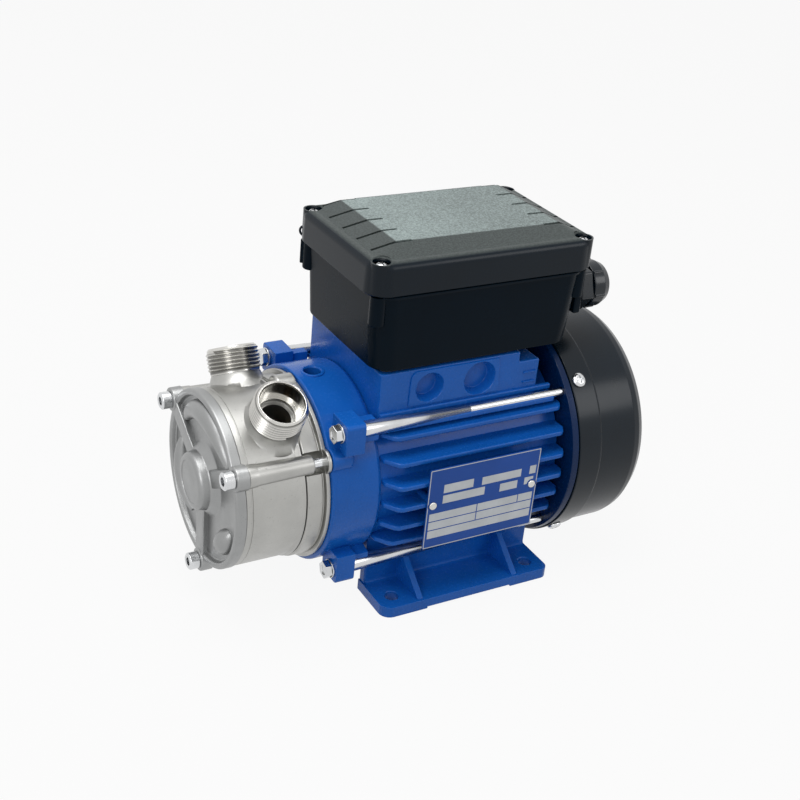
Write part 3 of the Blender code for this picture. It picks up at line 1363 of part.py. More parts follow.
def add_bearing(place_name, start):
    """A ball bearing as three pieces: outer ring, inner ring, and the cage with its balls."""
    end = start + BEARING_WIDTH
    inner_r = BEARING_BORE / 2 + PRESS_GAP
    outer_r = BEARING_R
    middle = (start + end) / 2
    pitch_r = (inner_r + outer_r) / 2
    ball_r = BALL_DIA / 2
    groove = ball_r + 0.15
    half = groove * 0.7
    inner_top = inner_r + BEARING_RING
    outer_low = outer_r - BEARING_RING
    floor_in = min(inner_top - 0.2, pitch_r - groove)
    floor_out = max(outer_low + 0.2, (pitch_r + groove) / math.cos(math.pi / RING_STEPS))
    revolve(f"{place_name}_bearing_outer", [
        (start, outer_low),
        (start, outer_r),
        (end, outer_r),
        (end, outer_low),
        (middle + half, outer_low),
        (middle + half * 0.5, floor_out),
        (middle - half * 0.5, floor_out),
        (middle - half, outer_low),
    ], "steel", RING_STEPS)
    revolve(f"{place_name}_bearing_inner", [
        (start, inner_r),
        (start, inner_top),
        (middle - half, inner_top),
        (middle - half * 0.5, floor_in),
        (middle + half * 0.5, floor_in),
        (middle + half, inner_top),
        (end, inner_top),
        (end, inner_r),
    ], "steel", SHAFT_STEPS)
    cage = ring(
        f"{place_name}_ball_cage",
        middle - CAGE_WIDTH / 2,
        middle + CAGE_WIDTH / 2,
        pitch_r - CAGE_THICK / 2,
        pitch_r + CAGE_THICK / 2,
        "steel",
    )
    for number in range(BALL_COUNT):
        turn = 2 * math.pi * (number + 0.5) / BALL_COUNT
        work = bmesh.new()
        bmesh.ops.create_uvsphere(work, u_segments=6, v_segments=4, radius=ball_r * MM)
        mesh = bpy.data.meshes.new(f"{place_name}_ball_{number}")
        work.to_mesh(mesh)
        work.free()
        ball = bpy.data.objects.new(mesh.name, mesh)
        ball.location = Vector((middle, pitch_r * math.cos(turn), SHAFT_HEIGHT + pitch_r * math.sin(turn))) * MM
        place(ball)
        join(cage, ball)


def add_stator():
    """The laminated core with its two end windings."""
    core_r = BORE_R - JOINT_GAP
    inner = ROTOR_R + AIR_GAP
    ring("stator_core", CORE_FRONT, CORE_REAR, inner, core_r, "laminated_steel")
    top = BORE_R - WINDING_WALL_GAP
    low = ROTOR_R + WINDING_ROTOR_GAP
    thick = top - low
    for name, near, direction in (("front", CORE_FRONT - JOINT_GAP, -1), ("rear", CORE_REAR + JOINT_GAP, 1)):
        far = near + direction * WINDING_LENGTH
        revolve(f"winding_{name}", [
            (near, low),
            (near, top),
            (near + (far - near) * 0.6, top),
            (near + (far - near) * 0.9, top - thick * 0.23),
            (far, top - thick * 0.45),
            (far, low + thick * 0.32),
            (near + (far - near) * 0.85, low + thick * 0.1),
            (near + (far - near) * 0.6, low),
        ], "copper", SHAFT_STEPS)


def add_rotor_and_shaft():
    """The cast rotor and the one shaft that carries it, the impeller and the fan."""
    rotor_r = ROTOR_R
    bore = SHAFT_ROTOR_DIA / 2 + PRESS_GAP
    ring_r = bore + (rotor_r - bore) * 0.42
    revolve("rotor_core", [
        (CORE_FRONT - ROTOR_RING_LENGTH, ring_r + 0.5),
        (CORE_FRONT - ROTOR_RING_LENGTH, rotor_r - 1.5),
        (CORE_FRONT, rotor_r - 1.0),
        (CORE_FRONT, rotor_r),
        (CORE_REAR, rotor_r),
        (CORE_REAR, rotor_r - 1.0),
        (CORE_REAR + ROTOR_RING_LENGTH, rotor_r - 1.5),
        (CORE_REAR + ROTOR_RING_LENGTH, ring_r + 0.5),
        (CORE_REAR, ring_r),
        (CORE_REAR, bore),
        (CORE_FRONT, bore),
        (CORE_FRONT, ring_r),
    ], "aluminium", SHAFT_STEPS)
    seat = BEARING_BORE / 2
    front_shoulder = FRONT_BEARING_X + BEARING_WIDTH + 0.1
    rear_shoulder = REAR_BEARING_X - 0.1
    rear_end = REAR_BEARING_X + BEARING_WIDTH + 0.5
    revolve("shaft", [
        (SHAFT_FRONT, 0),
        (SHAFT_FRONT, SHAFT_NOSE_DIA / 2 - 0.8),
        (SHAFT_FRONT + 0.8, SHAFT_NOSE_DIA / 2),
        (SPIGOT_X - 0.8, SHAFT_NOSE_DIA / 2),
        (SPIGOT_X - 0.8, SHAFT_R - 0.02),
        (FRONT_BEARING_X - 0.2, SHAFT_R - 0.02),
        (FRONT_BEARING_X - 0.2, seat),
        (front_shoulder, seat),
        (front_shoulder, SHAFT_ROTOR_DIA / 2),
        (rear_shoulder, SHAFT_ROTOR_DIA / 2),
        (rear_shoulder, seat),
        (rear_end, seat),
        (rear_end, SHAFT_R - 0.02),
        (SHAFT_REAR - 0.8, SHAFT_R - 0.02),
        (SHAFT_REAR, SHAFT_R - 0.8),
        (SHAFT_REAR, 0),
    ], "machined_stainless", SHAFT_STEPS)


def add_wave_washer():
    """The thin spring washer behind the rear bearing."""
    start = REAR_BEARING_X + BEARING_WIDTH + 0.03
    ring("wave_washer", start, start + JOINT_GAP - 0.06, BEARING_R - 3.0, BEARING_R - 0.3, "steel")


def add_fan():
    """The cooling fan: a hub, a disc and radial blades."""
    bore = SHAFT_R + PRESS_GAP
    hub_r = FAN_HUB_DIA / 2
    rear = FAN_FRONT + FAN_WIDTH
    disc = FAN_FRONT + FAN_HUB_FRONT
    fan = revolve("fan", [
        (FAN_FRONT, bore),
        (FAN_FRONT, hub_r),
        (disc, hub_r + 1.0),
        (disc, FAN_R - 1.0),
        (disc + FAN_DISC_THICK, FAN_R - 1.0),
        (disc + FAN_DISC_THICK, hub_r + 1.0),
        (rear, hub_r),
        (rear, bore),
    ], "black_plastic", SHAFT_STEPS)
    half = FAN_BLADE_THICK / 2
    for number in range(FAN_BLADES):
        turn = 2 * math.pi * number / FAN_BLADES
        outline = radial_bar(hub_r - 2.0, FAN_R - 2.0, half, turn)
        join(fan, prism(f"fan_blade_{number}", outline, disc + 0.5, rear - 1.0, "X"))
    clip = rear + JOINT_GAP
    ring("fan_clip", clip, clip + 1.2, bore, SHAFT_R + 2.6, "steel", SHAFT_STEPS)


def add_fan_cover():
    """The moulded fan cover with a stepped front band, rounded rear edge and a slotted grille."""
    front = SHIELD_RIM_REAR + JOINT_GAP
    front_r = COVER_FRONT_R
    main_r = COVER_MAIN_R
    rear_r = COVER_REAR_R
    wall = COVER_WALL
    end = COVER_END_X
    knee = (COVER_SHOULDER_X + end) / 2
    cover = revolve("fan_cover", [
        (front, front_r - wall),
        (front, front_r - 0.4),
        (front + 0.4, front_r),
        (COVER_STEP_X, front_r),
        (COVER_STEP_X + 0.8, main_r),
        (COVER_SHOULDER_X, main_r - 0.4),
        (knee, main_r - 2.2),
        (end - 1.6, rear_r + 2.2),
        (end, rear_r - 1.0),
        (end, 0),
        (end - wall, 0),
        (end - wall, rear_r - 2.2),
        (end - wall - 1.6, rear_r - 0.4),
        (knee - 0.9, main_r - wall - 2.4),
        (COVER_SHOULDER_X - 0.6, main_r - wall - 0.4),
        (COVER_STEP_X + 0.8, main_r - wall),
        (COVER_STEP_X, front_r - wall),
    ], "black_plastic")
    for number in range(GRILLE_SLOTS):
        turn = 2 * math.pi * (number + 0.5) / GRILLE_SLOTS
        outline = radial_bar(GRILLE_INNER, GRILLE_OUTER, GRILLE_SLOT_WIDTH / 2, turn)
        cut(cover, prism(f"grille_slot_{number}", outline, end - wall - 3.0, end + 3.0, "X"))
    for number in range(4):
        angle = COVER_SCREW_ANGLE + 90.0 * number
        hole = cylinder(
            f"cover_screw_hole_{number + 1}",
            front_r - wall - 4.0,
            front_r + 3.0,
            COVER_SCREW_DIA / 2 + SCREW_GAP,
            SMALL_STEPS,
            (COVER_SCREW_X, 0.0, SHAFT_HEIGHT),
            (math.radians(angle), 0.0, 0.0),
        )
        cut(cover, hole)
        screw_end = SHIELD_SPIGOT_R - COVER_SCREW_DEPTH
        seat = front_r + 0.1
        revolve(f"fan_cover_screw_{number + 1}", [
            (screw_end, 0),
            (screw_end, COVER_SCREW_DIA / 2),
            (seat, COVER_SCREW_DIA / 2),
            (seat, COVER_SCREW_HEAD / 2),
            (seat + 1.4, COVER_SCREW_HEAD / 2 - 0.6),
            (seat + 2.2, COVER_SCREW_HEAD / 2 - 2.0),
            (seat + 2.4, 0),
        ], "zinc", SMALL_STEPS, (COVER_SCREW_X, 0.0, SHAFT_HEIGHT), (math.radians(angle), 0.0, 0.0))
    return cover


def base_outline(share, grow=0.0):
    """The outline of the box base at a share of its height, 0 at the bottom and 1 at the seam."""
    down = 1.0 - share
    front = LID_FRONT + BASE_INSET_FRONT + BASE_DRAFT_FRONT * down - grow
    rear = BASE_REAR - BASE_DRAFT_REAR * down + grow
    near = LID_NEAR + BASE_INSET_SIDE + BASE_DRAFT_SIDE * down - grow
    far = LID_FAR - BASE_INSET_SIDE - BASE_DRAFT_SIDE * down + grow
    return rounded_outline((front, near), (rear, far), BASE_CORNER + grow, 3)


def lid_outline(inset, corner, per_corner=3):
    """The outline of the lid, drawn in from its edge on all sides."""
    low = (LID_FRONT + inset, LID_NEAR + inset)
    high = (LID_REAR - inset, LID_FAR - inset)
    return rounded_outline(low, high, corner, per_corner)


def lid_screw_places():
    """The X and Y of the four lid screws, near the corners of the lid."""
    x_low, x_high = LID_FRONT + LID_SCREW_INSET, LID_REAR - LID_SCREW_INSET
    y_low, y_high = LID_NEAR + LID_SCREW_INSET, LID_FAR - LID_SCREW_INSET
    return [(x_low, y_low), (x_high, y_low), (x_high, y_high), (x_low, y_high)]


def far_corner(inset, corner):
    """The middle of the far front corner's rounding, and the way that the corner faces."""
    middle = Vector((LID_FRONT + inset + corner, LID_FAR - inset - corner))
    return middle, Vector((-1.0, 1.0)).normalized()


def add_box_base():
    """The tapered base of the terminal box, open at the top, with four screw posts at its corners."""
    base = loft("terminal_box_base", [
        (base_outline(0.0), BOX_BASE_Z),
        (base_outline(1.0), BOX_SEAM_Z),
    ], "black_plastic")
    join(base, prism("base_rim", base_outline(1.0, BASE_RIM), BOX_SEAM_Z - BASE_RIM_HEIGHT, BOX_SEAM_Z))
    post_low = BOX_SEAM_Z - BASE_POST_LENGTH
    for number, (x, y) in enumerate(lid_screw_places(), 1):
        post = upright(f"base_post_{number}", x, y, BASE_POST_DIA / 2, post_low, BOX_SEAM_Z - EMBED, 12)
        join(base, post)
    middle, outward = far_corner(BASE_INSET_SIDE, BASE_CORNER)
    across = Vector((-outward.y, outward.x)) * BASE_TAB_WIDTH / 2
    inner = middle + outward * (BASE_CORNER - BOX_WALL)
    outer = middle + outward * (BASE_CORNER + BASE_TAB_REACH)
    tab_low = BOX_SEAM_Z - BASE_TAB_HEIGHT
    tab = [tuple(inner - across), tuple(outer - across), tuple(outer + across), tuple(inner + across)]
    join(base, prism("base_tab", tab, tab_low, BOX_SEAM_Z - EMBED))
    floor = BOX_BASE_Z + BOX_WALL
    share = BOX_WALL / BOX_BASE_HEIGHT
    above = 1.0 + OVERCUT / BOX_BASE_HEIGHT
    hollow = loft("base_hollow", [
        (base_outline(share, -BOX_WALL), floor),
        (base_outline(above, -BOX_WALL), BOX_SEAM_Z + OVERCUT),
    ])
    for number, (x, y) in enumerate(lid_screw_places(), 1):
        sleeve_r = LID_SCREW_DIA / 2 + SCREW_GAP + BOX_WALL / 2
        cut(hollow, upright(f"base_sleeve_{number}", x, y, sleeve_r, post_low, BOX_SEAM_Z + 2 * OVERCUT, 12))
    cut(base, hollow)
    pad = GLAND_HEX * 0.6
    low = (BASE_REAR - BASE_DRAFT_REAR - 0.7, GLAND_Y - pad, GLAND_Z - pad)
    pad_block = block("gland_pad", low, (GLAND_WALL_X, GLAND_Y + pad, GLAND_Z + pad))
    join(base, pad_block)
    hole_r = LID_SCREW_DIA / 2 + SCREW_GAP
    hole_low = BOX_SEAM_Z - LID_SCREW_DEPTH - 1.5
    for number, (x, y) in enumerate(lid_screw_places(), 1):
        cut(base, upright(f"base_post_hole_{number}", x, y, hole_r, hole_low, BOX_SEAM_Z + OVERCUT))
    cut(base, block(
        "base_window",
        (WINDOW_X - CABLE_WINDOW_X / 2, -CABLE_WINDOW_Y / 2, BOX_BASE_Z - OVERCUT),
        (WINDOW_X + CABLE_WINDOW_X / 2, CABLE_WINDOW_Y / 2, floor + OVERCUT),
    ))
    hole_r = BOX_SCREW_DIA / 2 + SCREW_GAP
    for number, side in enumerate((-1, 1), 1):
        x = WINDOW_X + side * BOX_SCREW_X
        cut(base, upright(f"base_hole_{number}", x, 0.0, hole_r, BOX_BASE_Z - OVERCUT, floor + OVERCUT))
    hole_r = GLAND_THREAD_DIA / 2 + SCREW_GAP
    hole = rod(
        "gland_hole",
        GLAND_WALL_X - GLAND_TAIL - 0.5,
        GLAND_WALL_X + OVERCUT,
        hole_r,
        (GLAND_Y, GLAND_Z),
        THREAD_STEPS,
    )
    return cut(base, hole)


def add_box_lid():
    """The lid with its raised middle, end slots, corner recesses, skirt and hanging eye."""
    near = (LID_FRONT + LID_END_SLOPE, LID_NEAR + LID_SIDE_SLOPE + LID_SHIFT_Y)
    far = (LID_REAR - LID_END_SLOPE, LID_FAR - LID_SIDE_SLOPE + LID_SHIFT_Y)
    lid = loft("terminal_box_lid", [
        (lid_outline(0.0, LID_CORNER), LID_BASE_Z),
        (lid_outline(0.5, LID_CORNER - 0.5), LID_EDGE_Z - 2.4),
        (lid_outline(1.3, LID_CORNER - 1.3), LID_EDGE_Z - 0.6),
        (lid_outline(2.7, LID_CORNER - 2.7), LID_EDGE_Z),
        (rounded_outline(near, far, 1.0, 3), LID_TOP_Z),
    ], "black_plastic")
    middle, outward = far_corner(0.0, LID_CORNER)
    hang = middle + outward * (LID_CORNER - LID_EYE_WIRE)
    places = []
    for i in range(9):
        turn = math.radians(-100 + 200 * i / 8)
        spot = hang + outward * LID_EYE_RADIUS * math.cos(turn)
        places.append((spot.x, spot.y, LID_BASE_Z + LID_EYE_RISE + LID_EYE_RADIUS * math.sin(turn)))
    join(lid, bead("lid_eye", places, LID_EYE_WIRE))
    hollow = loft("lid_hollow", [
        (lid_outline(BOX_WALL, LID_CORNER - BOX_WALL), LID_BASE_Z - OVERCUT),
        (lid_outline(BOX_WALL + 0.5, LID_CORNER - BOX_WALL - 0.5), LID_EDGE_Z - 2.0),
    ])
    cut(lid, hollow)
    recess_r = LID_RECESS_DIA / 2
    recess_low = LID_EDGE_Z - LID_RECESS_DEPTH
    hole_r = LID_SCREW_DIA / 2 + SCREW_GAP
    for number, (x, y) in enumerate(lid_screw_places(), 1):
        join(lid, upright(f"lid_post_{number}", x, y, recess_r + 0.8, LID_BASE_Z + 1.0, LID_EDGE_Z - 1.2))
    for number, (x, y) in enumerate(lid_screw_places(), 1):
        recess = upright(f"lid_recess_{number}", x, y, recess_r, recess_low, LID_EDGE_Z + OVERCUT, 12)
        hole = upright(f"lid_hole_{number}", x, y, hole_r, LID_BASE_Z - OVERCUT, LID_EDGE_Z)
        cut(lid, recess, hole)
    first = BOX_CENTRE_Y + LID_SHIFT_Y - LID_SLOT_PITCH * (LID_SLOTS - 1) / 2
    half = LID_SLOT_WIDTH / 2
    low_z = LID_TOP_Z - LID_SLOT_DEPTH
    above = LID_TOP_Z + OVERCUT
    for end_name, edge_x, inward in (("front", LID_FRONT, 1), ("rear", LID_REAR, -1)):
        knee_x = edge_x + inward * LID_END_SLOPE
        inner_x = knee_x + inward * LID_SLOT_RUN
        outer_x = edge_x + inward * LID_SLOT_END
        outline = [
            (inner_x, low_z),
            (knee_x, low_z),
            (outer_x, LID_EDGE_Z - LID_SLOT_DEPTH + 0.6),
            (outer_x, above),
            (inner_x, above),
        ]
        for number in range(LID_SLOTS):
            y = first + LID_SLOT_PITCH * number
            cut(lid, prism(f"lid_slot_{end_name}_{number}", outline, y - half, y + half, "Y"))
    return lid


def add_box_details():
    """Lid screws, gasket, fixing screws and what is inside the terminal box."""
    for number, (x, y) in enumerate(lid_screw_places(), 1):
        seat = LID_EDGE_Z - LID_RECESS_DEPTH + 0.15
        revolve(f"lid_screw_{number}", [
            (BOX_SEAM_Z - LID_SCREW_DEPTH, 0),
            (BOX_SEAM_Z - LID_SCREW_DEPTH, LID_SCREW_DIA / 2),
            (seat, LID_SCREW_DIA / 2),
            (seat, LID_SCREW_HEAD / 2),
            (seat + 1.2, LID_SCREW_HEAD / 2 - 0.4),
            (seat + 1.9, LID_SCREW_HEAD / 2 - 1.6),
            (seat + 1.9, 0),
        ], "zinc", SMALL_STEPS, (x, y, 0.0), ALONG_Z)
    gasket_low = PEDESTAL_TOP + JOINT_GAP
    gasket_top = gasket_low + BOX_GASKET_THICK
    side = PEDESTAL_HALF_WIDTH - 2.0
    sheet = rounded_outline((HOUSING_FRONT + 1.5, -side), (PEDESTAL_REAR - 1.5, side), 4.0)
    gasket = prism("box_gasket", sheet, gasket_low, gasket_top, "Z", "rubber")
    cut(gasket, block(
        "gasket_window",
        (WINDOW_X - CABLE_WINDOW_X / 2, -CABLE_WINDOW_Y / 2, gasket_low - OVERCUT),
        (WINDOW_X + CABLE_WINDOW_X / 2, CABLE_WINDOW_Y / 2, gasket_top + OVERCUT),
    ))
    floor = BOX_BASE_Z + BOX_WALL
    hole_r = BOX_SCREW_DIA / 2 + SCREW_GAP
    for number, side in enumerate((-1, 1), 1):
        x = WINDOW_X + side * BOX_SCREW_X
        cut(gasket, upright(
            f"gasket_hole_{number}",
            x,
            0.0,
            hole_r,
            gasket_low - OVERCUT,
            gasket_top + OVERCUT,
        ))
        revolve(f"box_screw_{number}", [
            (PEDESTAL_TOP - BOX_SCREW_DEPTH, 0),
            (PEDESTAL_TOP - BOX_SCREW_DEPTH, BOX_SCREW_DIA / 2),
            (floor + 0.1, BOX_SCREW_DIA / 2),
            (floor + 0.1, BOX_SCREW_HEAD / 2),
            (floor + 1.8, BOX_SCREW_HEAD / 2 - 0.8),
            (floor + 2.4, BOX_SCREW_HEAD / 2 - 2.2),
            (floor + 2.4, 0),
        ], "zinc", SMALL_STEPS, (x, 0.0, 0.0), ALONG_Z)
    cap_r = CAPACITOR_DIA / 2
    cap_y = LID_FAR - CAPACITOR_SIDE
    cap_z = floor + JOINT_GAP + cap_r
    start = LID_FRONT + CAPACITOR_FRONT
    end = LID_REAR - CAPACITOR_REAR
    revolve("capacitor", [
        (start, 0),
        (start, cap_r - 1.0),
        (start + 1.0, cap_r),
        (end - 1.0, cap_r),
        (end, cap_r - 1.0),
        (end, CAPACITOR_NECK_DIA / 2),
        (end + CAPACITOR_NECK, CAPACITOR_NECK_DIA / 2),
        (end + CAPACITOR_NECK, 0),
    ], "white_plastic", RING_STEPS, (0.0, cap_y, cap_z))
    board_x = LID_FRONT + BOARD_FRONT
    board_y = LID_NEAR + BOARD_SIDE
    board_low = floor + JOINT_GAP
    board_top = board_low + BOARD_THICK
    board = block(
        "terminal_board",
        (board_x - BOARD_LENGTH / 2, board_y - BOARD_WIDTH / 2, board_low),
        (board_x + BOARD_LENGTH / 2, board_y + BOARD_WIDTH / 2, board_top),
        "white_plastic",
    )
    for row, side in enumerate((-1, 1)):
        for column in range(BOARD_STUDS):
            x = board_x + BOARD_LENGTH * 0.3 * (column - 1)
            y = board_y + BOARD_WIDTH * 0.25 * side
            top = board_top + BOARD_STUD_RISE
            join(board, upright(f"board_stud_{row}_{column}", x, y, BOARD_STUD_DIA / 2, board_low + 1.0, top))


def add_gland():
    """The cable gland: body with hex, seal and clamping nut."""
    wall = GLAND_WALL_X
    at = (0.0, GLAND_Y, GLAND_Z)
    thread_r = GLAND_THREAD_DIA / 2
    hex_start = wall + JOINT_GAP
    hex_end = hex_start + GLAND_BODY_LENGTH
    nut_end = hex_end + JOINT_GAP + GLAND_NUT_LENGTH
    bore = GLAND_BORE / 2
    body = revolve("gland_body", [
        (wall - GLAND_TAIL, bore),
        (wall - GLAND_TAIL, thread_r),
        (hex_end + 5.0, thread_r),
        (hex_end + 5.0, bore),
    ], "black_plastic", THREAD_STEPS, at)
    collar = prism("gland_hex", hexagon(GLAND_HEX, (GLAND_Y, GLAND_Z), GLAND_HEX_TURN), hex_start, hex_end, "X")
    collar_hole = revolve("gland_hex_hole", [
        (hex_start - 3.0, 0),
        (hex_start - 3.0, bore + 1.5),
        (hex_end + 3.0, bore + 1.5),
        (hex_end + 3.0, 0),
    ], None, THREAD_STEPS, at)
    cut(collar, collar_hole)
    join(body, collar)
    nut_start = hex_end + JOINT_GAP
    nut_r = GLAND_NUT_DIA / 2
    nut = revolve("gland_nut", [
        (nut_start, thread_r + 0.2),
        (nut_start, nut_r),
        (nut_start + 5.5, nut_r),
        (nut_end - 2.5, nut_r - 2.2),
        (nut_end, nut_r - 5.0),
        (nut_end, bore + 0.6),
        (nut_end - 1.5, bore + 0.6),
        (hex_end + 5.4, thread_r - 1.2),
        (hex_end + 5.4, thread_r + 0.2),
    ], "black_plastic", THREAD_STEPS, at)
    revolve("gland_seal", [
        (hex_end + 5.2, bore - 0.5),
        (hex_end + 5.2, thread_r - 1.5),
        (nut_end - 2.2, bore + 0.5),
        (nut_end - 2.2, bore - 0.5),
    ], "rubber", THREAD_STEPS, at)
    return nut


def add_nameplate():
    """The plain nameplate and the two rivets that hold it on the fourth fin."""
    low = (PLATE_LOW_X, PLATE_Y - PLATE_THICK, PLATE_Z - PLATE_HEIGHT / 2)
    high = (PLATE_HIGH_X, PLATE_Y, PLATE_Z + PLATE_HEIGHT / 2)
    plate = block("nameplate", low, high, "plate_blue")
    z = SHAFT_HEIGHT + FIN_HEIGHTS[PLATE_FIN]
    for number, x in enumerate((low[0] + RIVET_INSET, high[0] - RIVET_INSET), 1):
        face = -low[1]
        hole = cylinder(
            f"plate_rivet_hole_{number}",
            face - 4.0,
            face + 3.0,
            RIVET_DIA / 2 + 0.1,
            SMALL_STEPS,
            (x, 0.0, z),
            (math.pi / 2, 0.0, 0.0),
        )
        cut(plate, hole)
        revolve(f"nameplate_rivet_{number}", [
            (face - RIVET_DEPTH, 0),
            (face - RIVET_DEPTH, RIVET_DIA / 2),
            (face + 0.1, RIVET_DIA / 2),
            (face + 0.1, RIVET_HEAD / 2),
            (face + 0.7, RIVET_HEAD / 2 - 0.4),
            (face + 1.2, RIVET_HEAD / 2 - 1.3),
            (face + 1.2, 0),
        ], "machined_stainless", SMALL_STEPS, (x, 0.0, z), (math.pi / 2, 0.0, 0.0))


def shade_parts():
    """Shade every piece smooth over its round faces and crisp at its edges."""
    group = smooth_by_angle()
    for obj in PARTS.objects:
        obj.modifiers.new("Smooth by angle", "NODES").node_group = group


def stand_over_origin():
    """Move the whole model along X, so that the middle of its length lies over the origin."""
    screw_tip = PUMP_EAR_FRONT - JOINT_GAP - PUMP_SCREW_HEAD_LENGTH
    middle = (screw_tip + COVER_END_X) / 2
    for obj in list(PARTS.objects) + list(TOOLS.objects):
        obj.location.x -= middle * MM


def main():
    add_front_cover()
    add_pump_body()
    add_back_plate()
    add_impeller()
    add_pump_inside()
    add_cover_screws()
    add_motor_flange()
    add_motor_housing()
    add_tie_rods()
    add_rear_shield()
    add_bearing("front", FRONT_BEARING_X)
    add_bearing("rear", REAR_BEARING_X)
    add_stator()
    add_rotor_and_shaft()
    add_wave_washer()
    add_fan()
    add_fan_cover()
    add_box_base()
    add_box_lid()
    add_box_details()
    add_gland()
    add_nameplate()
    shade_parts()
    stand_over_origin()


main()
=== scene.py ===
"""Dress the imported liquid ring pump: fine shapes, finishes, stage, light and camera."""
import json
import math

import bmesh
import bpy
from bpy.props import FloatProperty, FloatVectorProperty, IntProperty, PointerProperty
from mathutils import Matrix, Vector

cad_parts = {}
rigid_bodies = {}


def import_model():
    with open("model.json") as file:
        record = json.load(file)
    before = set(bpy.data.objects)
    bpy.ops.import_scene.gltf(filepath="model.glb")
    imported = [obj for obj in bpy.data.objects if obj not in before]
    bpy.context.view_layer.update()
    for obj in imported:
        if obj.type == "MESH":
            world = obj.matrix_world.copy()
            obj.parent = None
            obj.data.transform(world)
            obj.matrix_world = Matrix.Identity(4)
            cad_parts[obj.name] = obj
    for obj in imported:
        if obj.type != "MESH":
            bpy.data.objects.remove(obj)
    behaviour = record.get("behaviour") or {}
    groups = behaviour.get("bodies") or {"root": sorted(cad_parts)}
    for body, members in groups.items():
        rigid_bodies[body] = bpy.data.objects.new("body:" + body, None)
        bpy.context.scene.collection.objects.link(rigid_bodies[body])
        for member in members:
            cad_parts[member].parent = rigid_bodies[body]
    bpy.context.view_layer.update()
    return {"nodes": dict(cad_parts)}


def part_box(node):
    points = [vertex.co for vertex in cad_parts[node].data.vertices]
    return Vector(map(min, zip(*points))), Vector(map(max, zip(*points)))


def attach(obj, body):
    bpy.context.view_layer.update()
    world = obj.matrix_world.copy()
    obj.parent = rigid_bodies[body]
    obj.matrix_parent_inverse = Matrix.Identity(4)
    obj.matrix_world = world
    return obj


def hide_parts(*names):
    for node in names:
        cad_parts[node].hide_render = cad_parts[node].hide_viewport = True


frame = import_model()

bl_info = {
    "name": "Liquid ring pump",
    "version": (1, 0, 0),
    "blender": (4, 5, 0),
    "location": "3D View > Sidebar > Pump",
    "description": "Builds the visible pieces of a small foot-mounted liquid ring pump",
    "category": "Add Mesh",
}

MM = 0.001
FIXED = "pump_and_motor"
HOUSING_FRONT = -50.0
FEET_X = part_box("motor_housing")[0].x / MM - HOUSING_FRONT  # the feet's middle, in the CAD frame
TO_FRAME = Matrix.Scale(MM, 4) @ Matrix.Translation((FEET_X, 0.0, 0.0))
ROUND = 128  # steps round a large turned piece
FINE = 48  # and round a small one
FIELD_LEVELS = (0.1826, 0.1831)  # heights between which the lid's field, pale with painted reflection, fades in, in metres
TOP_LEVELS = (0.1795, 0.1803)  # and its top, with a fine grain and painted top light
SENSOR = 36.0
PHOTO_PIXELS = 800.0
FOCAL_PIXELS = 1321.49
CAMERA_PLACE = Vector((-0.3139, -0.5041, 0.4000))
CAMERA_TARGET = Vector((-0.003355, 0.0, 0.08683))
CAMERA_ROLL = 5.75
FLOOR_SIZE = 20.0
FLOOR_GLOW = 0.92  # share of plain white that the camera sees on the floor
FILL_LIGHT = 0.30  # the world's strength, where nothing looks straight at it
LAMPS = (  # name, place, target, size and watts
    ("top_light", (-0.15, 0.05, 1.10), (0.0, 0.0, 0.09), 0.9, 8.0),
    ("left_light", (-1.00, -0.75, 0.75), (0.0, 0.0, 0.09), 0.6, 4.0),
    ("right_light", (0.80, -0.95, 0.75), (0.0, 0.0, 0.08), 0.6, 2.5),
)


def length(label, hint, millimetres):
    """A length property that shows in the scene's units."""
    return FloatProperty(name=label, description=hint, default=millimetres * MM, unit="LENGTH", precision=5)


def colour(label, hint, value):
    """A colour property."""
    return FloatVectorProperty(name=label, description=hint, default=value, subtype="COLOR", size=3, min=0,
                               max=1)


class PumpSizes(bpy.types.PropertyGroup):
    """Sizes of the cast pump end."""

    axis_height: length("Shaft height", "Height of the shaft above the floor", 63.0)
    diameter: length("Cover diameter", "Outer diameter of the front cover", 88.0)
    body_diameter: length("Body diameter", "Outer diameter of the pump body", 87.2)
    cover_front: length("Cover face", "Front face of the cover rim, from the feet's middle", -122.4)
    hub_front: length("Hub face", "Front face of the hub, from the feet's middle", -128.3)
    hub_diameter: length("Hub diameter", "Diameter of the hub", 28.5)
    seam: length("Seam", "Seam between cover and body, from the feet's middle", -117.3)
    body_rear: length("Body end", "Rear end of the body, from the feet's middle", -87.5)
    port_place: length("Port place", "Both ports' axis, from the feet's middle", -96.0)
    port_lean: FloatProperty(name="Port lean", description="Lean of each port from upright",
                             default=math.radians(30), subtype="ANGLE")
    port_mouth: length("Port mouth", "Distance of a port's mouth from the shaft axis", 60.7)
    thread_diameter: length("Thread diameter", "Outer diameter of the port thread", 26.4)
    thread_pitch: length("Thread pitch", "Pitch of the port thread", 1.814)
    thread_length: length("Thread length", "Length of the port thread", 12.7)
    screw_circle: length("Screw circle", "Radius of the circle of cover screws", 46.2)
    screw_head: length("Screw head", "Diameter of a cover screw's head", 8.8)


class MotorSizes(bpy.types.PropertyGroup):
    """Sizes of the motor, its feet and its covers."""

    barrel: length("Barrel diameter", "Outer diameter of the housing barrel", 93.0)
    fin_tip: length("Fin tip diameter", "Diameter of the circle on which the fins end", 114.0)
    fin_pitch: length("Fin pitch", "Distance between two fins", 11.25)
    fin_thick: length("Fin thickness", "Thickness of a fin", 2.5)
    flange: length("Flange diameter", "Diameter of the drive-end flange", 98.0)
    rod: length("Tie rod diameter", "Diameter of the tie rods", 4.2)
    rod_circle: length("Tie rod circle", "Radius of the circle of tie rods", 56.2)
    cover: length("Fan cover diameter", "Diameter of the fan cover's front band", 122.4)
    slots: IntProperty(name="Grille slots", description="Number of slots in the fan cover's rear", default=12,
                       min=3)


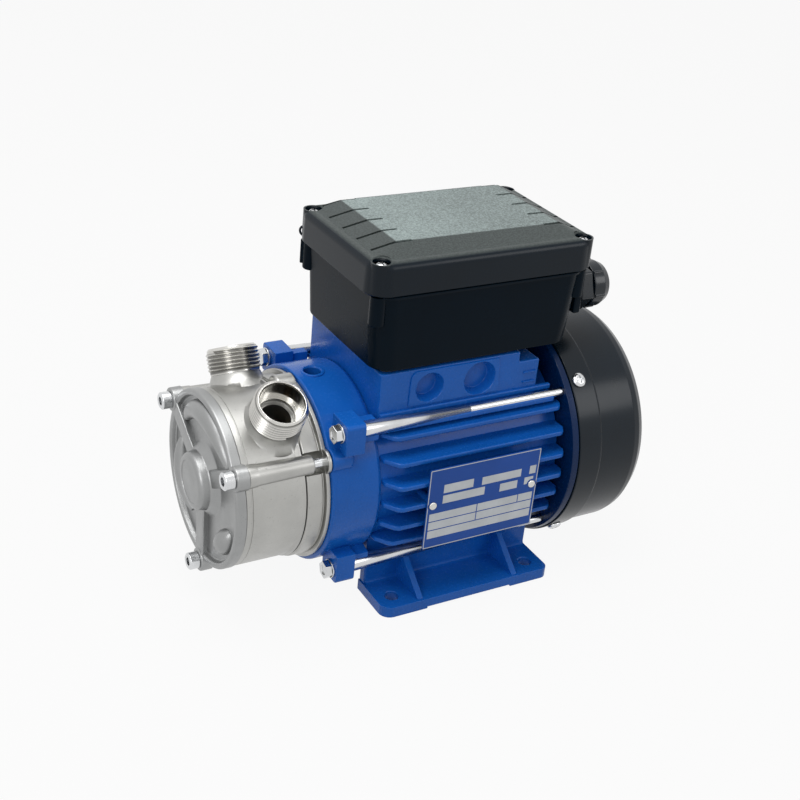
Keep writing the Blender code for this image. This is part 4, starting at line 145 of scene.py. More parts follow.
class BoxSizes(bpy.types.PropertyGroup):
    """Sizes of the terminal box."""

    middle_x: length("Middle along", "Middle of the box along the shaft", 2.5)
    middle_y: length("Middle across", "Middle of the box across the shaft", 1.5)
    lid_length: length("Lid length", "Length of the lid", 123.0)
    lid_width: length("Lid width", "Width of the lid", 82.0)
    seam: length("Seam height", "Height of the seam between base and lid", 164.2)
    corner: length("Corner radius", "Radius of the upright corners", 10.0)
    slot_pitch: length("Slot pitch", "Distance between two slots in the lid", 14.1)
    field_x: length("Raised field along", "Middle of the lid's raised field along the shaft", 6.0)
    field_y: length("Raised field across", "Middle of the lid's raised field across the shaft", 6.9)
    field_length: length("Raised field length", "Length of the lid's raised field", 90.0)
    field_width: length("Raised field width", "Width of the lid's raised field", 56.4)
    plate_length: length("Nameplate length", "Length of the plain nameplate", 63.5)
    plate_height: length("Nameplate height", "Height of the plain nameplate", 44.8)


class Finishes(bpy.types.PropertyGroup):
    """Base colours of the main finishes."""

    enamel: colour("Enamel", "Blue enamel of the motor", (0.006, 0.105, 0.45))
    casting: colour("Casting", "Cast stainless steel", (0.46, 0.458, 0.44))
    plastic: colour("Plastic", "Black plastic of the terminal box", (0.001, 0.0055, 0.011))
    cowl: colour("Fan cover", "Black plastic of the fan cover", (0.003, 0.008, 0.014))
    # Pale grey of the lid's raised field: painted reflection of the overhead light on the black grained
    # plastic
    grain: colour("Lid field", "Grained field on the lid", (0.19, 0.23, 0.225))
    silver: colour("Plate print", "Bare metal of the nameplate", (0.42, 0.44, 0.46))


class Millimetres:
    """Reads a group's length properties in millimetres."""

    def __init__(self, group):
        self.group = group

    def __getattr__(self, name):
        return getattr(self.group, name) / MM


def pump():
    return Millimetres(bpy.context.scene.pump_sizes)


def motor():
    return Millimetres(bpy.context.scene.motor_sizes)


def terminal_box():
    return Millimetres(bpy.context.scene.box_sizes)


# Shader maths


class Field:
    """A value or colour in a material, with the arithmetic signs of Python."""

    def __init__(self, look, socket):
        self.look = look
        self.socket = socket

    def __add__(self, other):
        return self.look.math("ADD", self, other)

    def __sub__(self, other):
        return self.look.math("SUBTRACT", self, other)

    def __rsub__(self, other):
        return self.look.math("SUBTRACT", other, self)

    def __mul__(self, other):
        return self.look.math("MULTIPLY", self, other)

    def steps(self, low, high):
        """0 below low, 1 above high, and even between them."""
        settings = {"clamp": True}
        values = {"Value": self, "From Min": low, "From Max": high}
        return self.look.node("ShaderNodeMapRange", settings, values)

    __radd__ = __add__
    __rmul__ = __mul__


class Look:
    """A material under construction."""

    def __init__(self, name):
        self.material = bpy.data.materials.new(name)
        self.material.use_nodes = True
        self.tree = self.material.node_tree
        self.shader = self.tree.nodes["Principled BSDF"]
        self.place = self.node("ShaderNodeTexCoord", output="Object")

    def node(self, kind, settings=None, values=None, output=0):
        """Adds any node: its settings first, then the values or links of its sockets."""
        made = self.tree.nodes.new(kind)
        for name, value in (settings or {}).items():
            setattr(made, name, value)
        for name, value in (values or {}).items():
            self.feed(made.inputs[name], value)
        return Field(self, made.outputs[output])

    def feed(self, socket, value):
        if isinstance(value, Field):
            self.tree.links.new(value.socket, socket)
        else:
            socket.default_value = value

    def math(self, operation, first, second=0.0):
        return self.node("ShaderNodeMath", {"operation": operation}, {0: first, 1: second})

    def noise(self, scale, detail=2.0, rough=0.5, stretch=None):
        """Noise from 0 to 1 whose patches are about 1 / scale metres across."""
        place = self.place
        if stretch:
            place = self.node("ShaderNodeMapping", None, {"Vector": place, "Scale": stretch})
        values = {"Vector": place, "Scale": scale, "Detail": detail, "Roughness": rough}
        return self.node("ShaderNodeTexNoise", None, values)

    def mix(self, share, first, second):
        """A colour between two others."""
        made = self.tree.nodes.new("ShaderNodeMix")
        made.data_type = "RGBA"
        self.feed(made.inputs["Factor"], share)
        for socket, value in ((made.inputs[6], first), (made.inputs[7], second)):
            self.feed(socket, value if isinstance(value, Field) else (*value, 1.0))
        return Field(self, made.outputs[2])

    def bump(self, height, depth):
        """A normal from a height between 0 and 1, depth metres deep."""
        return self.node("ShaderNodeBump", None, {"Height": height, "Distance": depth, "Strength": 1.0})

    def axis(self, letter):
        return self.node("ShaderNodeSeparateXYZ", None, {"Vector": self.place}, letter)

    def wear(self, **sockets):
        """Feeds the shader's sockets and gives back the material."""
        for name, value in sockets.items():
            label = "Specular IOR Level" if name == "specular" else name.replace("_", " ").title()
            socket = self.shader.inputs[label]
            if not isinstance(value, (Field, float, int)):
                value = (*value, 1.0)
            self.feed(socket, value)
        return self.material


def shade(value, factor):
    """The colour made darker or lighter by a factor."""
    return tuple(min(1.0, part * factor) for part in value)


def enamel_look(name, base, depth=1.0, rough=0.2):
    """Sprayed enamel over a casting: faint orange peel, dust and broad changes of tone."""
    look = Look(name)
    broad = look.noise(35.0, 3.0)
    peel = look.noise(520.0, 1.0)
    sand = look.noise(140.0, 3.0, 0.6)
    tone = look.mix(broad, shade(base, 0.82), shade(base, 1.18))
    specks = look.noise(2600.0, 0.0).steps(0.76, 0.80)
    tone = look.mix(specks * 0.1, tone, shade(base, 2.0))
    normal = look.bump(peel * 0.4 + sand * 0.6, 0.00004 * depth)
    return look.wear(base_color=tone, roughness=peel * 0.12 + rough, normal=normal, specular=0.22)


def casting_look(name, base, rough=0.36, grit=1.0):
    """Bead-blasted cast stainless steel, with grit, small pits and cloudy tone."""
    look = Look(name)
    grain = look.noise(1700.0, 2.0, 0.6)
    cloud = look.noise(48.0, 4.0, 0.6)
    pits = look.noise(900.0, 1.0, 0.7).steps(0.24, 0.32)
    tone = look.mix(cloud, shade(base, 0.74), shade(base, 1.16))
    tone = look.mix(1.0 - pits, tone, shade(base, 0.72))
    tone = look.mix(grain * 0.35, tone, shade(base, 0.7))
    normal = look.bump(grain * 0.6 + pits * 0.4, 0.00003 * grit)
    roughness = look.noise(160.0, 3.0) * 0.18 + (rough - 0.09) + grain * 0.08
    return look.wear(base_color=tone, roughness=roughness, metallic=1.0, normal=normal)


def turned_look(name, base, rough=0.2, scratch=(1.0, 1.0, 1.0)):
    """Machined or plated metal with fine tool marks."""
    look = Look(name)
    marks = look.noise(900.0, 3.0, 0.6, scratch)
    cloud = look.noise(120.0, 3.0)
    tone = look.mix(cloud, shade(base, 0.80), shade(base, 1.12))
    normal = look.bump(marks, 0.000012)
    return look.wear(base_color=tone, roughness=marks * 0.16 + (rough - 0.04), metallic=1.0, normal=normal)


def thread_look(name, base):
    """Machined thread: crests in the metal's own tone, and roots that are rougher and painted very dark as
    painted shade, as deep as the attribute groove says.
    """
    look = Look(name)
    groove = look.node("ShaderNodeAttribute", {"attribute_name": "groove"}, None, "Fac")
    cloud = look.noise(140.0, 3.0)
    bright = look.mix(cloud, shade(base, 0.84), shade(base, 1.15))
    # Painted shade: the thread roots are darkened nearly to black
    tone = look.mix(groove * 0.9, bright, shade(base, 0.16))
    normal = look.bump(look.noise(900.0, 3.0, 0.6), 0.000012)
    return look.wear(base_color=tone, roughness=groove * 0.2 + 0.18, metallic=1.0, normal=normal)


def plastic_look(name, base, rough=0.34, grain=2200.0, depth=0.00002, specular=0.3):
    """Moulded plastic with a fine spark-eroded grain and slight sheen marks."""
    look = Look(name)
    fine = look.noise(grain, 1.0)
    broad = look.noise(30.0, 4.0, 0.6)
    tone = look.mix(broad, shade(base, 0.75), shade(base, 1.3))
    normal = look.bump(fine, depth)
    return look.wear(base_color=tone, roughness=broad * 0.16 + (rough - 0.08), normal=normal,
                     specular=specular)


def lid_look(name, base, field):
    """The lid's plastic: smooth black sides; a top with a fine grain, painted a lighter grey as painted top
    light; and on the raised middle a coarse grain whose pale tone, fading towards the fan end, is painted
    reflection.
    """
    look = Look(name)
    box = terminal_box()
    x, y, z = (look.axis(letter) for letter in "XYZ")
    along = look.math("ABSOLUTE", x - (box.field_x + FEET_X) * MM)
    across = look.math("ABSOLUTE", y - box.field_y * MM)
    half_length, half_width = box.field_length / 2 * MM, box.field_width / 2 * MM
    mask = along.steps(half_length + 0.0004, half_length - 0.0004) * across.steps(half_width + 0.0004,
            half_width - 0.0004)
    mask = mask * z.steps(*FIELD_LEVELS)
    top = z.steps(*TOP_LEVELS)
    speckle = look.noise(1300.0, 1.0).steps(0.35, 0.66)
    # Painted reflection on the raised field: pale patches, and a fade from the pump end towards the fan end
    sheen = look.noise(22.0, 2.0).steps(0.3, 0.7) * 0.5 + x.steps(0.052, -0.02) * 0.5
    broad = look.noise(30.0, 4.0, 0.6)
    plain = look.mix(broad, shade(base, 0.75), shade(base, 1.3))
    # Painted top light: the lid's top is a lighter grey than its black sides
    painted_top_light = look.mix(speckle, shade(field, 0.20), shade(field, 0.34))
    # The field's tone: its real speckled grain, mixed with the painted reflection above
    field_grain_and_sheen = look.mix(speckle * 0.55 + sheen * 0.45, shade(field, 0.5), shade(field, 1.7))
    tone = look.mix(mask, look.mix(top, plain, painted_top_light), field_grain_and_sheen)
    fine = look.noise(1300.0, 1.0)
    normal = look.bump(fine * (top * 0.5 + mask * 0.4 + 0.1), 0.00007)
    return look.wear(base_color=tone, roughness=broad * 0.1 + 0.20 + top * 0.2, normal=normal, specular=0.2)


def rubber_look(name, base):
    """Dull moulded rubber."""
    look = Look(name)
    return look.wear(base_color=look.mix(look.noise(200.0, 3.0), shade(base, 0.7), shade(base, 1.4)),
                     roughness=look.noise(600.0, 2.0) * 0.2 + 0.6,
                     normal=look.bump(look.noise(900.0, 2.0), 0.00003))


def winding_look(name, base):
    """Varnished copper wire."""
    look = Look(name)
    wires = look.noise(900.0, 2.0, 0.5, (3.0, 0.4, 0.4))
    tone = look.mix(wires, shade(base, 0.5), shade(base, 1.3))
    return look.wear(base_color=tone, roughness=wires * 0.2 + 0.25, metallic=0.8,
                     normal=look.bump(wires, 0.0003))


def laminated_look(name, base):
    """Stacked thin sheets of steel."""
    look = Look(name)
    sheets = look.node("ShaderNodeTexWave", {"bands_direction": "X"}, {"Vector": look.place, "Scale": 320.0})
    tone = look.mix(sheets, shade(base, 0.7), shade(base, 1.2))
    return look.wear(base_color=tone, roughness=look.noise(300.0, 2.0) * 0.2 + 0.35, metallic=1.0,
                     normal=look.bump(sheets, 0.00004))


def make_looks():
    """All the finishes by name."""
    paint = bpy.context.scene.finishes
    enamel, casting = tuple(paint.enamel), tuple(paint.casting)
    return {
        "blue": enamel_look("blue_enamel", enamel),
        # The rear shield wears the blue enamel darkened to a sixth: painted shade for its place under the fan
        # cover
        "painted_shade_blue": enamel_look("navy_enamel", shade(enamel, 0.16)),
        "casting": casting_look("cast_stainless", casting, 0.34),
        # The front cover is the cast stainless with a darker base colour as painted shade, for the darker
        # surroundings it reflects; its coarser grit is its own
        "cover": casting_look("cover_casting", (0.36, 0.365, 0.365), 0.36, 1.3),
        "thread": thread_look("port_thread", (0.62, 0.61, 0.58)),
        "machined": turned_look("machined_stainless", (0.62, 0.61, 0.58), 0.2, (0.2, 1.0, 1.0)),
        "zinc": turned_look("zinc_plating", (0.66, 0.67, 0.68), 0.17, (0.1, 1.0, 1.0)),
        "plastic": plastic_look("box_plastic", tuple(paint.plastic), 0.26, specular=0.06),
        "lid": lid_look("lid_plastic", tuple(paint.plastic), tuple(paint.grain)),
        "cowl": plastic_look("fan_cover_plastic", tuple(paint.cowl), 0.22, 900.0, 0.000006, 0.26),
        "gland": plastic_look("gland_plastic", shade(tuple(paint.plastic), 0.9), 0.22, 800.0, 0.000008, 0.45),
        "plate": enamel_look("plate_print", (0.010, 0.070, 0.34), 0.05, 0.26),
        "silver": turned_look("plate_metal", tuple(paint.silver), 0.36, (1.0, 1.0, 0.1)),
        "rubber": rubber_look("black_rubber", (0.015, 0.015, 0.016)),
        "copper": winding_look("copper_winding", (0.55, 0.2, 0.08)),
        "steel": turned_look("bearing_steel", (0.42, 0.43, 0.45), 0.25),
        "laminated": laminated_look("laminated_steel", (0.22, 0.23, 0.25)),
        "aluminium": casting_look("cast_aluminium", (0.6, 0.6, 0.6), 0.4),
        "carbon": plastic_look("carbon", (0.03, 0.03, 0.033), 0.4),
        "bronze": turned_look("bronze", (0.55, 0.38, 0.13), 0.3),
        "pale": plastic_look("pale_plastic", (0.55, 0.55, 0.52), 0.4),
    }


LOOKS = {}


# Shapes, in millimetres from the feet's middle


def eased(points, radius, steps=3, closed=False):
    """A polyline with its corners rounded. A third number in a point is its own radius."""
    out = []
    count = len(points)
    for i, point in enumerate(points):
        here = Vector(point[:2])
        wanted = point[2] if len(point) > 2 else radius
        if wanted <= 0 or (not closed and i in (0, count - 1)):
            out.append(tuple(here))
            continue
        before = Vector(points[i - 1][:2]) - here
        after = Vector(points[(i + 1) % count][:2]) - here
        angle = before.angle(after, math.pi)
        if angle > math.radians(172):
            out.append(tuple(here))
            continue
        reach = min(wanted / math.tan(angle / 2), 0.45 * before.length, 0.45 * after.length)
        middle = here + (before.normalized() + after.normalized()).normalized() * reach / math.cos(angle / 2)
        first = here + before.normalized() * reach - middle
        last = here + after.normalized() * reach - middle
        turn = math.atan2(first.x * last.y - first.y * last.x, first.dot(last))
        for k in range(steps + 1):
            share = turn * k / steps
            c, s = math.cos(share), math.sin(share)
            out.append((middle.x + first.x * c - first.y * s, middle.y + first.x * s + first.y * c))
    return out


def scratch_object(name, bm):
    """A working object in millimetres."""
    bmesh.ops.recalc_face_normals(bm, faces=bm.faces)
    mesh = bpy.data.meshes.new(name)
    bm.to_mesh(mesh)
    bm.free()
    obj = bpy.data.objects.new(name, mesh)
    bpy.context.scene.collection.objects.link(obj)
    return obj


def facing(direction, origin):
    """The matrix that lays local X along a direction from an origin."""
    return Matrix.Translation(origin) @ Vector(direction).to_track_quat("X", "Z").to_matrix().to_4x4()


def shaft_line(y=0.0, z=None):
    return Matrix.Translation((0.0, y, pump().axis_height if z is None else z))


def turned(name, profile, place=None, steps=ROUND):
    """A profile of (along, radius) pairs spun round the local X axis."""
    bm = bmesh.new()
    verts = [bm.verts.new((x, 0.0, r)) for x, r in profile]
    loop = list(zip(verts, verts[1:]))
    if profile[0][1] or profile[-1][1]:
        loop.append((verts[-1], verts[0]))
    edges = [bm.edges.new(pair) for pair in loop]
    bmesh.ops.spin(bm, geom=verts + edges, cent=(0, 0, 0), axis=(1, 0, 0), dvec=(0, 0, 0),
                   angle=2 * math.pi, steps=steps, use_merge=True)
    bmesh.ops.remove_doubles(bm, verts=bm.verts, dist=0.0005)
    bm.transform(shaft_line() if place is None else place)
    return scratch_object(name, bm)


def peg(name, start, end, radius, place=None, steps=FINE):
    """A plain cylinder along the local X axis."""
    return turned(name, [(start, 0), (start, radius), (end, radius), (end, 0)], place, steps)


def soften(bm, ease, segments, limit=25.0):
    """Bevels every edge sharper than the limit."""
    if ease <= 0:
        return
    sharp = [e for e in bm.edges if len(e.link_faces) == 2 and e.calc_face_angle(0.0) > math.radians(limit)]
    bmesh.ops.bevel(bm, geom=sharp, offset=ease, segments=segments, profile=0.5, affect="EDGES",
                    clamp_overlap=True)


def prism(name, outline, low, high, axis="Z", ease=0.0, segments=2):
    """An outline extruded along an axis. The pairs are YZ for X, XZ for Y and XY for Z."""
    lift = {"X": lambda a, b: (low, a, b), "Y": lambda a, b: (a, low, b), "Z": lambda a, b: (a, b, low)}[axis]
    shift = Vector([(high - low) * (axis == letter) for letter in "XYZ"])
    bm = bmesh.new()
    face = bm.faces.new([bm.verts.new(lift(a, b)) for a, b in outline])
    grown = bmesh.ops.extrude_face_region(bm, geom=[face], use_keep_orig=True)["geom"]
    bmesh.ops.translate(bm, vec=shift, verts=[v for v in grown if isinstance(v, bmesh.types.BMVert)])
    bmesh.ops.recalc_face_normals(bm, faces=bm.faces)
    soften(bm, ease, segments)
    return scratch_object(name, bm)


def block(name, low, high, ease=0.0, segments=2):
    outline = [(low[0], low[1]), (high[0], low[1]), (high[0], high[1]), (low[0], high[1])]
    return prism(name, outline, low[2], high[2], "Z", ease, segments)


def rounded(length, width, radius, centre, steps=8):
    """A rectangle with rounded corners, as XY pairs."""
    x, y = centre
    corners = [(x + length / 2, y - width / 2), (x + length / 2, y + width / 2),
               (x - length / 2, y + width / 2), (x - length / 2, y - width / 2)]
    return eased(corners, radius, steps, True)


def stacked(name, layers):
    """A closed solid through (outline, height) layers with equal counts of points."""
    bm = bmesh.new()
    rings = [[bm.verts.new((x, y, z)) for x, y in outline] for outline, z in layers]
    for low, high in zip(rings, rings[1:]):
        for i in range(len(low)):
            j = (i + 1) % len(low)
            bm.faces.new((low[i], low[j], high[j], high[i]))
    bm.faces.new(rings[0])
    bm.faces.new(rings[-1])
    return scratch_object(name, bm)


def hexagon(width, centre=(0.0, 0.0), turn=0.0):
    radius = width / math.sqrt(3)
    return [(centre[0] + radius * math.cos(math.radians(turn + 60 * i)),
             centre[1] + radius * math.sin(math.radians(turn + 60 * i))) for i in range(6)]


def on_circle(radius, angle):
    """The Y and Z of a place round the shaft, seen from the pump end, with 0 at the viewer's right."""
    turn = math.radians(angle)
    return -radius * math.cos(turn), pump().axis_height + radius * math.sin(turn)


def settled(obj):
    """Turns the object's modifiers into its mesh."""
    bpy.context.view_layer.update()
    mesh = bpy.data.meshes.new_from_object(obj.evaluated_get(bpy.context.evaluated_depsgraph_get()))
    obj.modifiers.clear()
    old, obj.data = obj.data, mesh
    bpy.data.meshes.remove(old)
    return obj


def combined(base, add=(), cut=()):
    """Joins some working objects to a base and cuts others from it."""
    bags = []
    for group, operation in ((add, "UNION"), (cut, "DIFFERENCE")):
        if not group:
            continue
        bag = bpy.data.collections.new(f"{base.name}_{operation.lower()}")
        for obj in group:
            bag.objects.link(obj)
        step = base.modifiers.new(operation, "BOOLEAN")
        step.operation = operation
        step.solver = "EXACT"
        step.operand_type = "COLLECTION"
        step.collection = bag
        bags.append(bag)
    settled(base)
    for bag in bags:
        for obj in list(bag.objects):
            bpy.data.objects.remove(obj)
        bpy.data.collections.remove(bag)
    return base


def join_meshes(base, others):
    """Adds the faces of other working objects to a base."""
    bm = bmesh.new()
    bm.from_mesh(base.data)
    for other in others:
        bm.from_mesh(other.data)
        bpy.data.objects.remove(other)
    bm.to_mesh(base.data)
    bm.free()
    return base


def finish_piece(obj, name, look, body=FIXED, replaces=(), angle=32.0, place=TO_FRAME):
    """Puts a working object into the frame as a finished piece."""
    mesh = obj.data
    mesh.transform(place)
    mesh.shade_smooth()
    mesh.set_sharp_from_angle(angle=math.radians(angle))
    even = obj.modifiers.new("Even shading", "WEIGHTED_NORMAL")
    even.keep_sharp = True
    settled(obj)
    obj.name = name
    obj.data.name = name
    obj.data.materials.clear()
    obj.data.materials.append(LOOKS[look])
    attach(obj, body)
    if replaces:
        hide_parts(*replaces)
    return obj


# Node trees for what repeats


def copy_tree(name, inputs):
    """An empty Geometry Nodes tree with named inputs, and a helper that adds its nodes."""
    tree = bpy.data.node_groups.new(name, "GeometryNodeTree")
    tree.interface.new_socket("Geometry", in_out="OUTPUT", socket_type="NodeSocketGeometry")
    for label, kind in inputs:
        tree.interface.new_socket(label, in_out="INPUT", socket_type=kind)
    source = tree.nodes.new("NodeGroupInput")

    def add(kind, settings=None, values=None, output=0):
        made = tree.nodes.new(kind)
        for key, value in (settings or {}).items():
            setattr(made, key, value)
        for key, value in (values or {}).items():
            if isinstance(value, bpy.types.NodeSocket):
                tree.links.new(value, made.inputs[key])
            else:
                made.inputs[key].default_value = value
        return made.outputs[output]

    return tree, source, add


def end_tree(tree, add, geometry, material):
    """Ends a tree with Realize Instances and Set Material."""
    real = add("GeometryNodeRealizeInstances", None, {"Geometry": geometry})
    dressed = add("GeometryNodeSetMaterial", None, {"Geometry": real, "Material": material})
    out = tree.nodes.new("NodeGroupOutput")
    tree.links.new(dressed, out.inputs["Geometry"])


def round_shaft_tree():
    """Copies of a piece turned round the shaft."""
    tree, source, add = copy_tree("Copies round the shaft", [
        ("Piece", "NodeSocketObject"), ("Count", "NodeSocketInt"), ("First turn", "NodeSocketFloat"),
        ("Centre", "NodeSocketVector"), ("Finish", "NodeSocketMaterial")])
    points = add("GeometryNodePoints", None, {"Count": source.outputs["Count"],
            "Position": source.outputs["Centre"]})
    index = add("GeometryNodeInputIndex")
    step = add("ShaderNodeMath", {"operation": "DIVIDE"}, {0: 2 * math.pi, 1: source.outputs["Count"]})
    turn = add("ShaderNodeMath", {"operation": "MULTIPLY_ADD"},
               {0: index, 1: step, 2: source.outputs["First turn"]})
    spin = add("ShaderNodeCombineXYZ", None, {"X": turn})
    piece = add("GeometryNodeObjectInfo", {"transform_space": "ORIGINAL"},
                {"Object": source.outputs["Piece"]}, "Geometry")
    placed = add("GeometryNodeInstanceOnPoints", None, {"Points": points, "Instance": piece,
            "Rotation": spin})
    end_tree(tree, add, placed, source.outputs["Finish"])
    return tree


def grid_tree():
    """Copies of a piece on the corners of a rectangle that stands across or lies along the shaft."""
    tree, source, add = copy_tree("Copies on a rectangle", [
        ("Piece", "NodeSocketObject"), ("Size", "NodeSocketVector"), ("Centre", "NodeSocketVector"),
        ("Tilt", "NodeSocketVector"), ("Count X", "NodeSocketInt"), ("Count Y", "NodeSocketInt"),
        ("Finish", "NodeSocketMaterial")])
    size = tree.nodes.new("ShaderNodeSeparateXYZ")
    tree.links.new(source.outputs["Size"], size.inputs[0])
    grid = add("GeometryNodeMeshGrid", None, {
        "Size X": size.outputs[0], "Size Y": size.outputs[1],
        "Vertices X": source.outputs["Count X"], "Vertices Y": source.outputs["Count Y"]})
    tilted = add("GeometryNodeTransform", None, {
        "Geometry": grid, "Translation": source.outputs["Centre"], "Rotation": source.outputs["Tilt"]})
    piece = add("GeometryNodeObjectInfo", {"transform_space": "ORIGINAL"},
                {"Object": source.outputs["Piece"]}, "Geometry")
    placed = add("GeometryNodeInstanceOnPoints", None, {"Points": tilted, "Instance": piece})
    end_tree(tree, add, placed, source.outputs["Finish"])
    return tree


def thread_tree():
    """One helical ridge of a screw thread round the local Z axis."""
    tree, source, add = copy_tree("Screw thread", [
        ("Radius", "NodeSocketFloat"), ("Pitch", "NodeSocketFloat"), ("Length", "NodeSocketFloat"),
        ("Ridge", "NodeSocketFloat"), ("Finish", "NodeSocketMaterial")])
    turns = add("ShaderNodeMath", {"operation": "DIVIDE"}, {0: source.outputs["Length"],
            1: source.outputs["Pitch"]})
    helix = add("GeometryNodeCurveSpiral", None, {
        "Resolution": 64, "Rotations": turns, "Start Radius": source.outputs["Radius"],
        "End Radius": source.outputs["Radius"], "Height": source.outputs["Length"]})
    upright = add("GeometryNodeSetCurveNormal", {"mode": "Z_UP"}, {"Curve": helix})
    ridge = add("GeometryNodeCurvePrimitiveCircle", None, {"Resolution": 4,
            "Radius": source.outputs["Ridge"]})
    swept = add("GeometryNodeCurveToMesh", None, {"Curve": upright, "Profile Curve": ridge,
            "Fill Caps": True})
    end_tree(tree, add, swept, source.outputs["Finish"])
    return tree


def grown(name, tree, **inputs):
    """A working object made by a Geometry Nodes tree, as a plain mesh."""
    obj = bpy.data.objects.new(name, bpy.data.meshes.new(name))
    bpy.context.scene.collection.objects.link(obj)
    step = obj.modifiers.new("Copies", "NODES")
    step.node_group = tree
    sockets = {s.name: s.identifier for s in tree.interface.items_tree if s.in_out == "INPUT"}
    for key, value in inputs.items():
        step[sockets[key.replace("_", " ")]] = value
    return settled(obj)


def copies_round_shaft(name, piece, count, first_degrees, look):
    """Copies of a working piece, made round a shaft axis that passes through its origin."""
    made = grown(name, TREES["round"], Piece=piece, Count=count, First_turn=math.radians(first_degrees),
                 Centre=(0.0, 0.0, pump().axis_height), Finish=LOOKS[look])
    bpy.data.objects.remove(piece)
    return made


def copies_on_grid(name, piece, size, centre, look, tilt=(0.0, 0.0, 0.0), counts=(2, 2)):
    made = grown(name, TREES["grid"], Piece=piece, Size=(*size, 0.0), Centre=centre, Tilt=tilt,
                 Count_X=counts[0], Count_Y=counts[1], Finish=LOOKS[look])
    bpy.data.objects.remove(piece)
    return made


TREES = {}
AT_ORIGIN = Matrix.Identity(4)
SCREW_TURNS = (30.0, 150.0, 270.0)  # places of the cover screws round the shaft, in degrees
TIE_TURNS = (42.0, 138.0, 222.0, 318.0)  # places of the tie rods
SCREW_HOLE = 2.75  # radius round a cover screw
HOUSING_BORE = 42.1  # radius
GLAND_Y, GLAND_Z = -22.0, 149.0
GLAND_WALL = 62.3  # the face that the gland sits on
LID_SCREW_INSET = 6.3
LID_EDGE = 16.25  # height of the lid's flat edge over the seam
RIVET_FIN = 3  # the fin that the nameplate's rivets stand on
UP = Matrix.Rotation(-math.pi / 2, 4, "Y")


# The pump end


def bead(name, radius, size, x, start, end, steps=40, sides=16, curl=0.0):
    """A round bead on an arc round the shaft, fading out at both ends and curling in towards its end."""
    bm = bmesh.new()
    rings = []
    for i in range(steps + 1):
        share = i / steps
        angle = start + (end - start) * share
        fat = size * math.sqrt(max(math.sin(math.pi * (share * 0.96 + 0.02)), 0.0))
        ring = []
        for k in range(sides):
            turn = 2 * math.pi * k / sides
            y, z = on_circle(radius + curl * share**3 + fat * math.cos(turn), angle)
            ring.append(bm.verts.new((x - fat * math.sin(turn), y, z)))
        rings.append(ring)
    for low, high in zip(rings, rings[1:]):
        for k in range(sides):
            j = (k + 1) % sides
            bm.faces.new((low[k], low[j], high[j], high[k]))
    bm.faces.new(rings[0])
    bm.faces.new(rings[-1])
    return scratch_object(name, bm)


def arm(name, angle, widths, low, high, ease=0.8):
    """A bar that stands out from the shaft axis, with its half widths at given radii."""
    turn = math.radians(angle)
    z = pump().axis_height
    outline = []
    for radius, half in [(r, h) for r, h in widths] + [(r, -h) for r, h in reversed(widths)]:
        outline.append((-radius * math.cos(turn) + half * math.sin(turn),
                        z + radius * math.sin(turn) + half * math.cos(turn)))
    return prism(name, outline, low, high, "X", ease, 3)


class PUMP_OT_front_cover(bpy.types.Operator):
    """Build the cast front cover with hub, rim, arms, channel and screw ears"""

    bl_idname = "pump.front_cover"
    bl_label = "Front cover"

    def execute(self, context):
        p = pump()
        outer = p.diameter / 2
        hub = p.hub_diameter / 2
        floor = p.cover_front + 2.7
        rear = p.seam + 2.7
        cover = turned("cover", eased([
            (p.seam, 36.5, 0), (p.seam, outer, 0.25), (p.cover_front, outer, 1.7),
            (p.cover_front, outer - 3.0, 1.1),
            (floor, outer - 3.9, 0.8), (floor, hub + 4.5, 2.2), (p.cover_front - 0.8, hub + 0.6, 1.0),
            (p.hub_front, hub - 0.4, 2.6), (p.hub_front, 0), (rear, 0), (rear, 36.5, 0),
        ], 0.5, 5))
        add = []
        for number, angle in enumerate(SCREW_TURNS):
            add.append(arm(f"arm_{number}", angle, [(hub - 2.0, 4.6), (24.0, 4.3), (42.5, 4.3)],
                           p.cover_front - 0.4, rear - 0.5))
            y, z = on_circle(p.screw_circle, angle)
            ear = eased([(p.seam, 0), (p.seam, 6.0, 0), (-123.3, 6.0, 0.9), (-123.3, 0)], 0.5, 4)
            add.append(turned(f"ear_{number}", ear, shaft_line(y, z), FINE))
        add.append(bead("channel", 35.2, 5.4, p.cover_front + 2.4, 36.0, 141.0, 56, 20, -3.2))
        add.append(bead("small_channel", 31.5, 5.0, p.cover_front + 3.0, 168.0, 240.0, 32))
        add.append(bead("low_pad", 32.5, 6.2, p.cover_front + 3.6, 303.0, 338.0, 24))
        cut = []
        for number, angle in enumerate(SCREW_TURNS):
            y, z = on_circle(p.screw_circle, angle)
            cut.append(peg(f"hole_{number}", -130.0, -110.0, SCREW_HOLE, shaft_line(y, z)))
        cut.append(turned("hub_dimple", [(-129.0, 0), (-129.0, 11.2), (-128.0, 10.6), (-128.0, 0)], None,
                          FINE))
        finish_piece(combined(cover, add, cut), "pump_front_cover", "cover", replaces=["front_cover"])
        return {"FINISHED"}


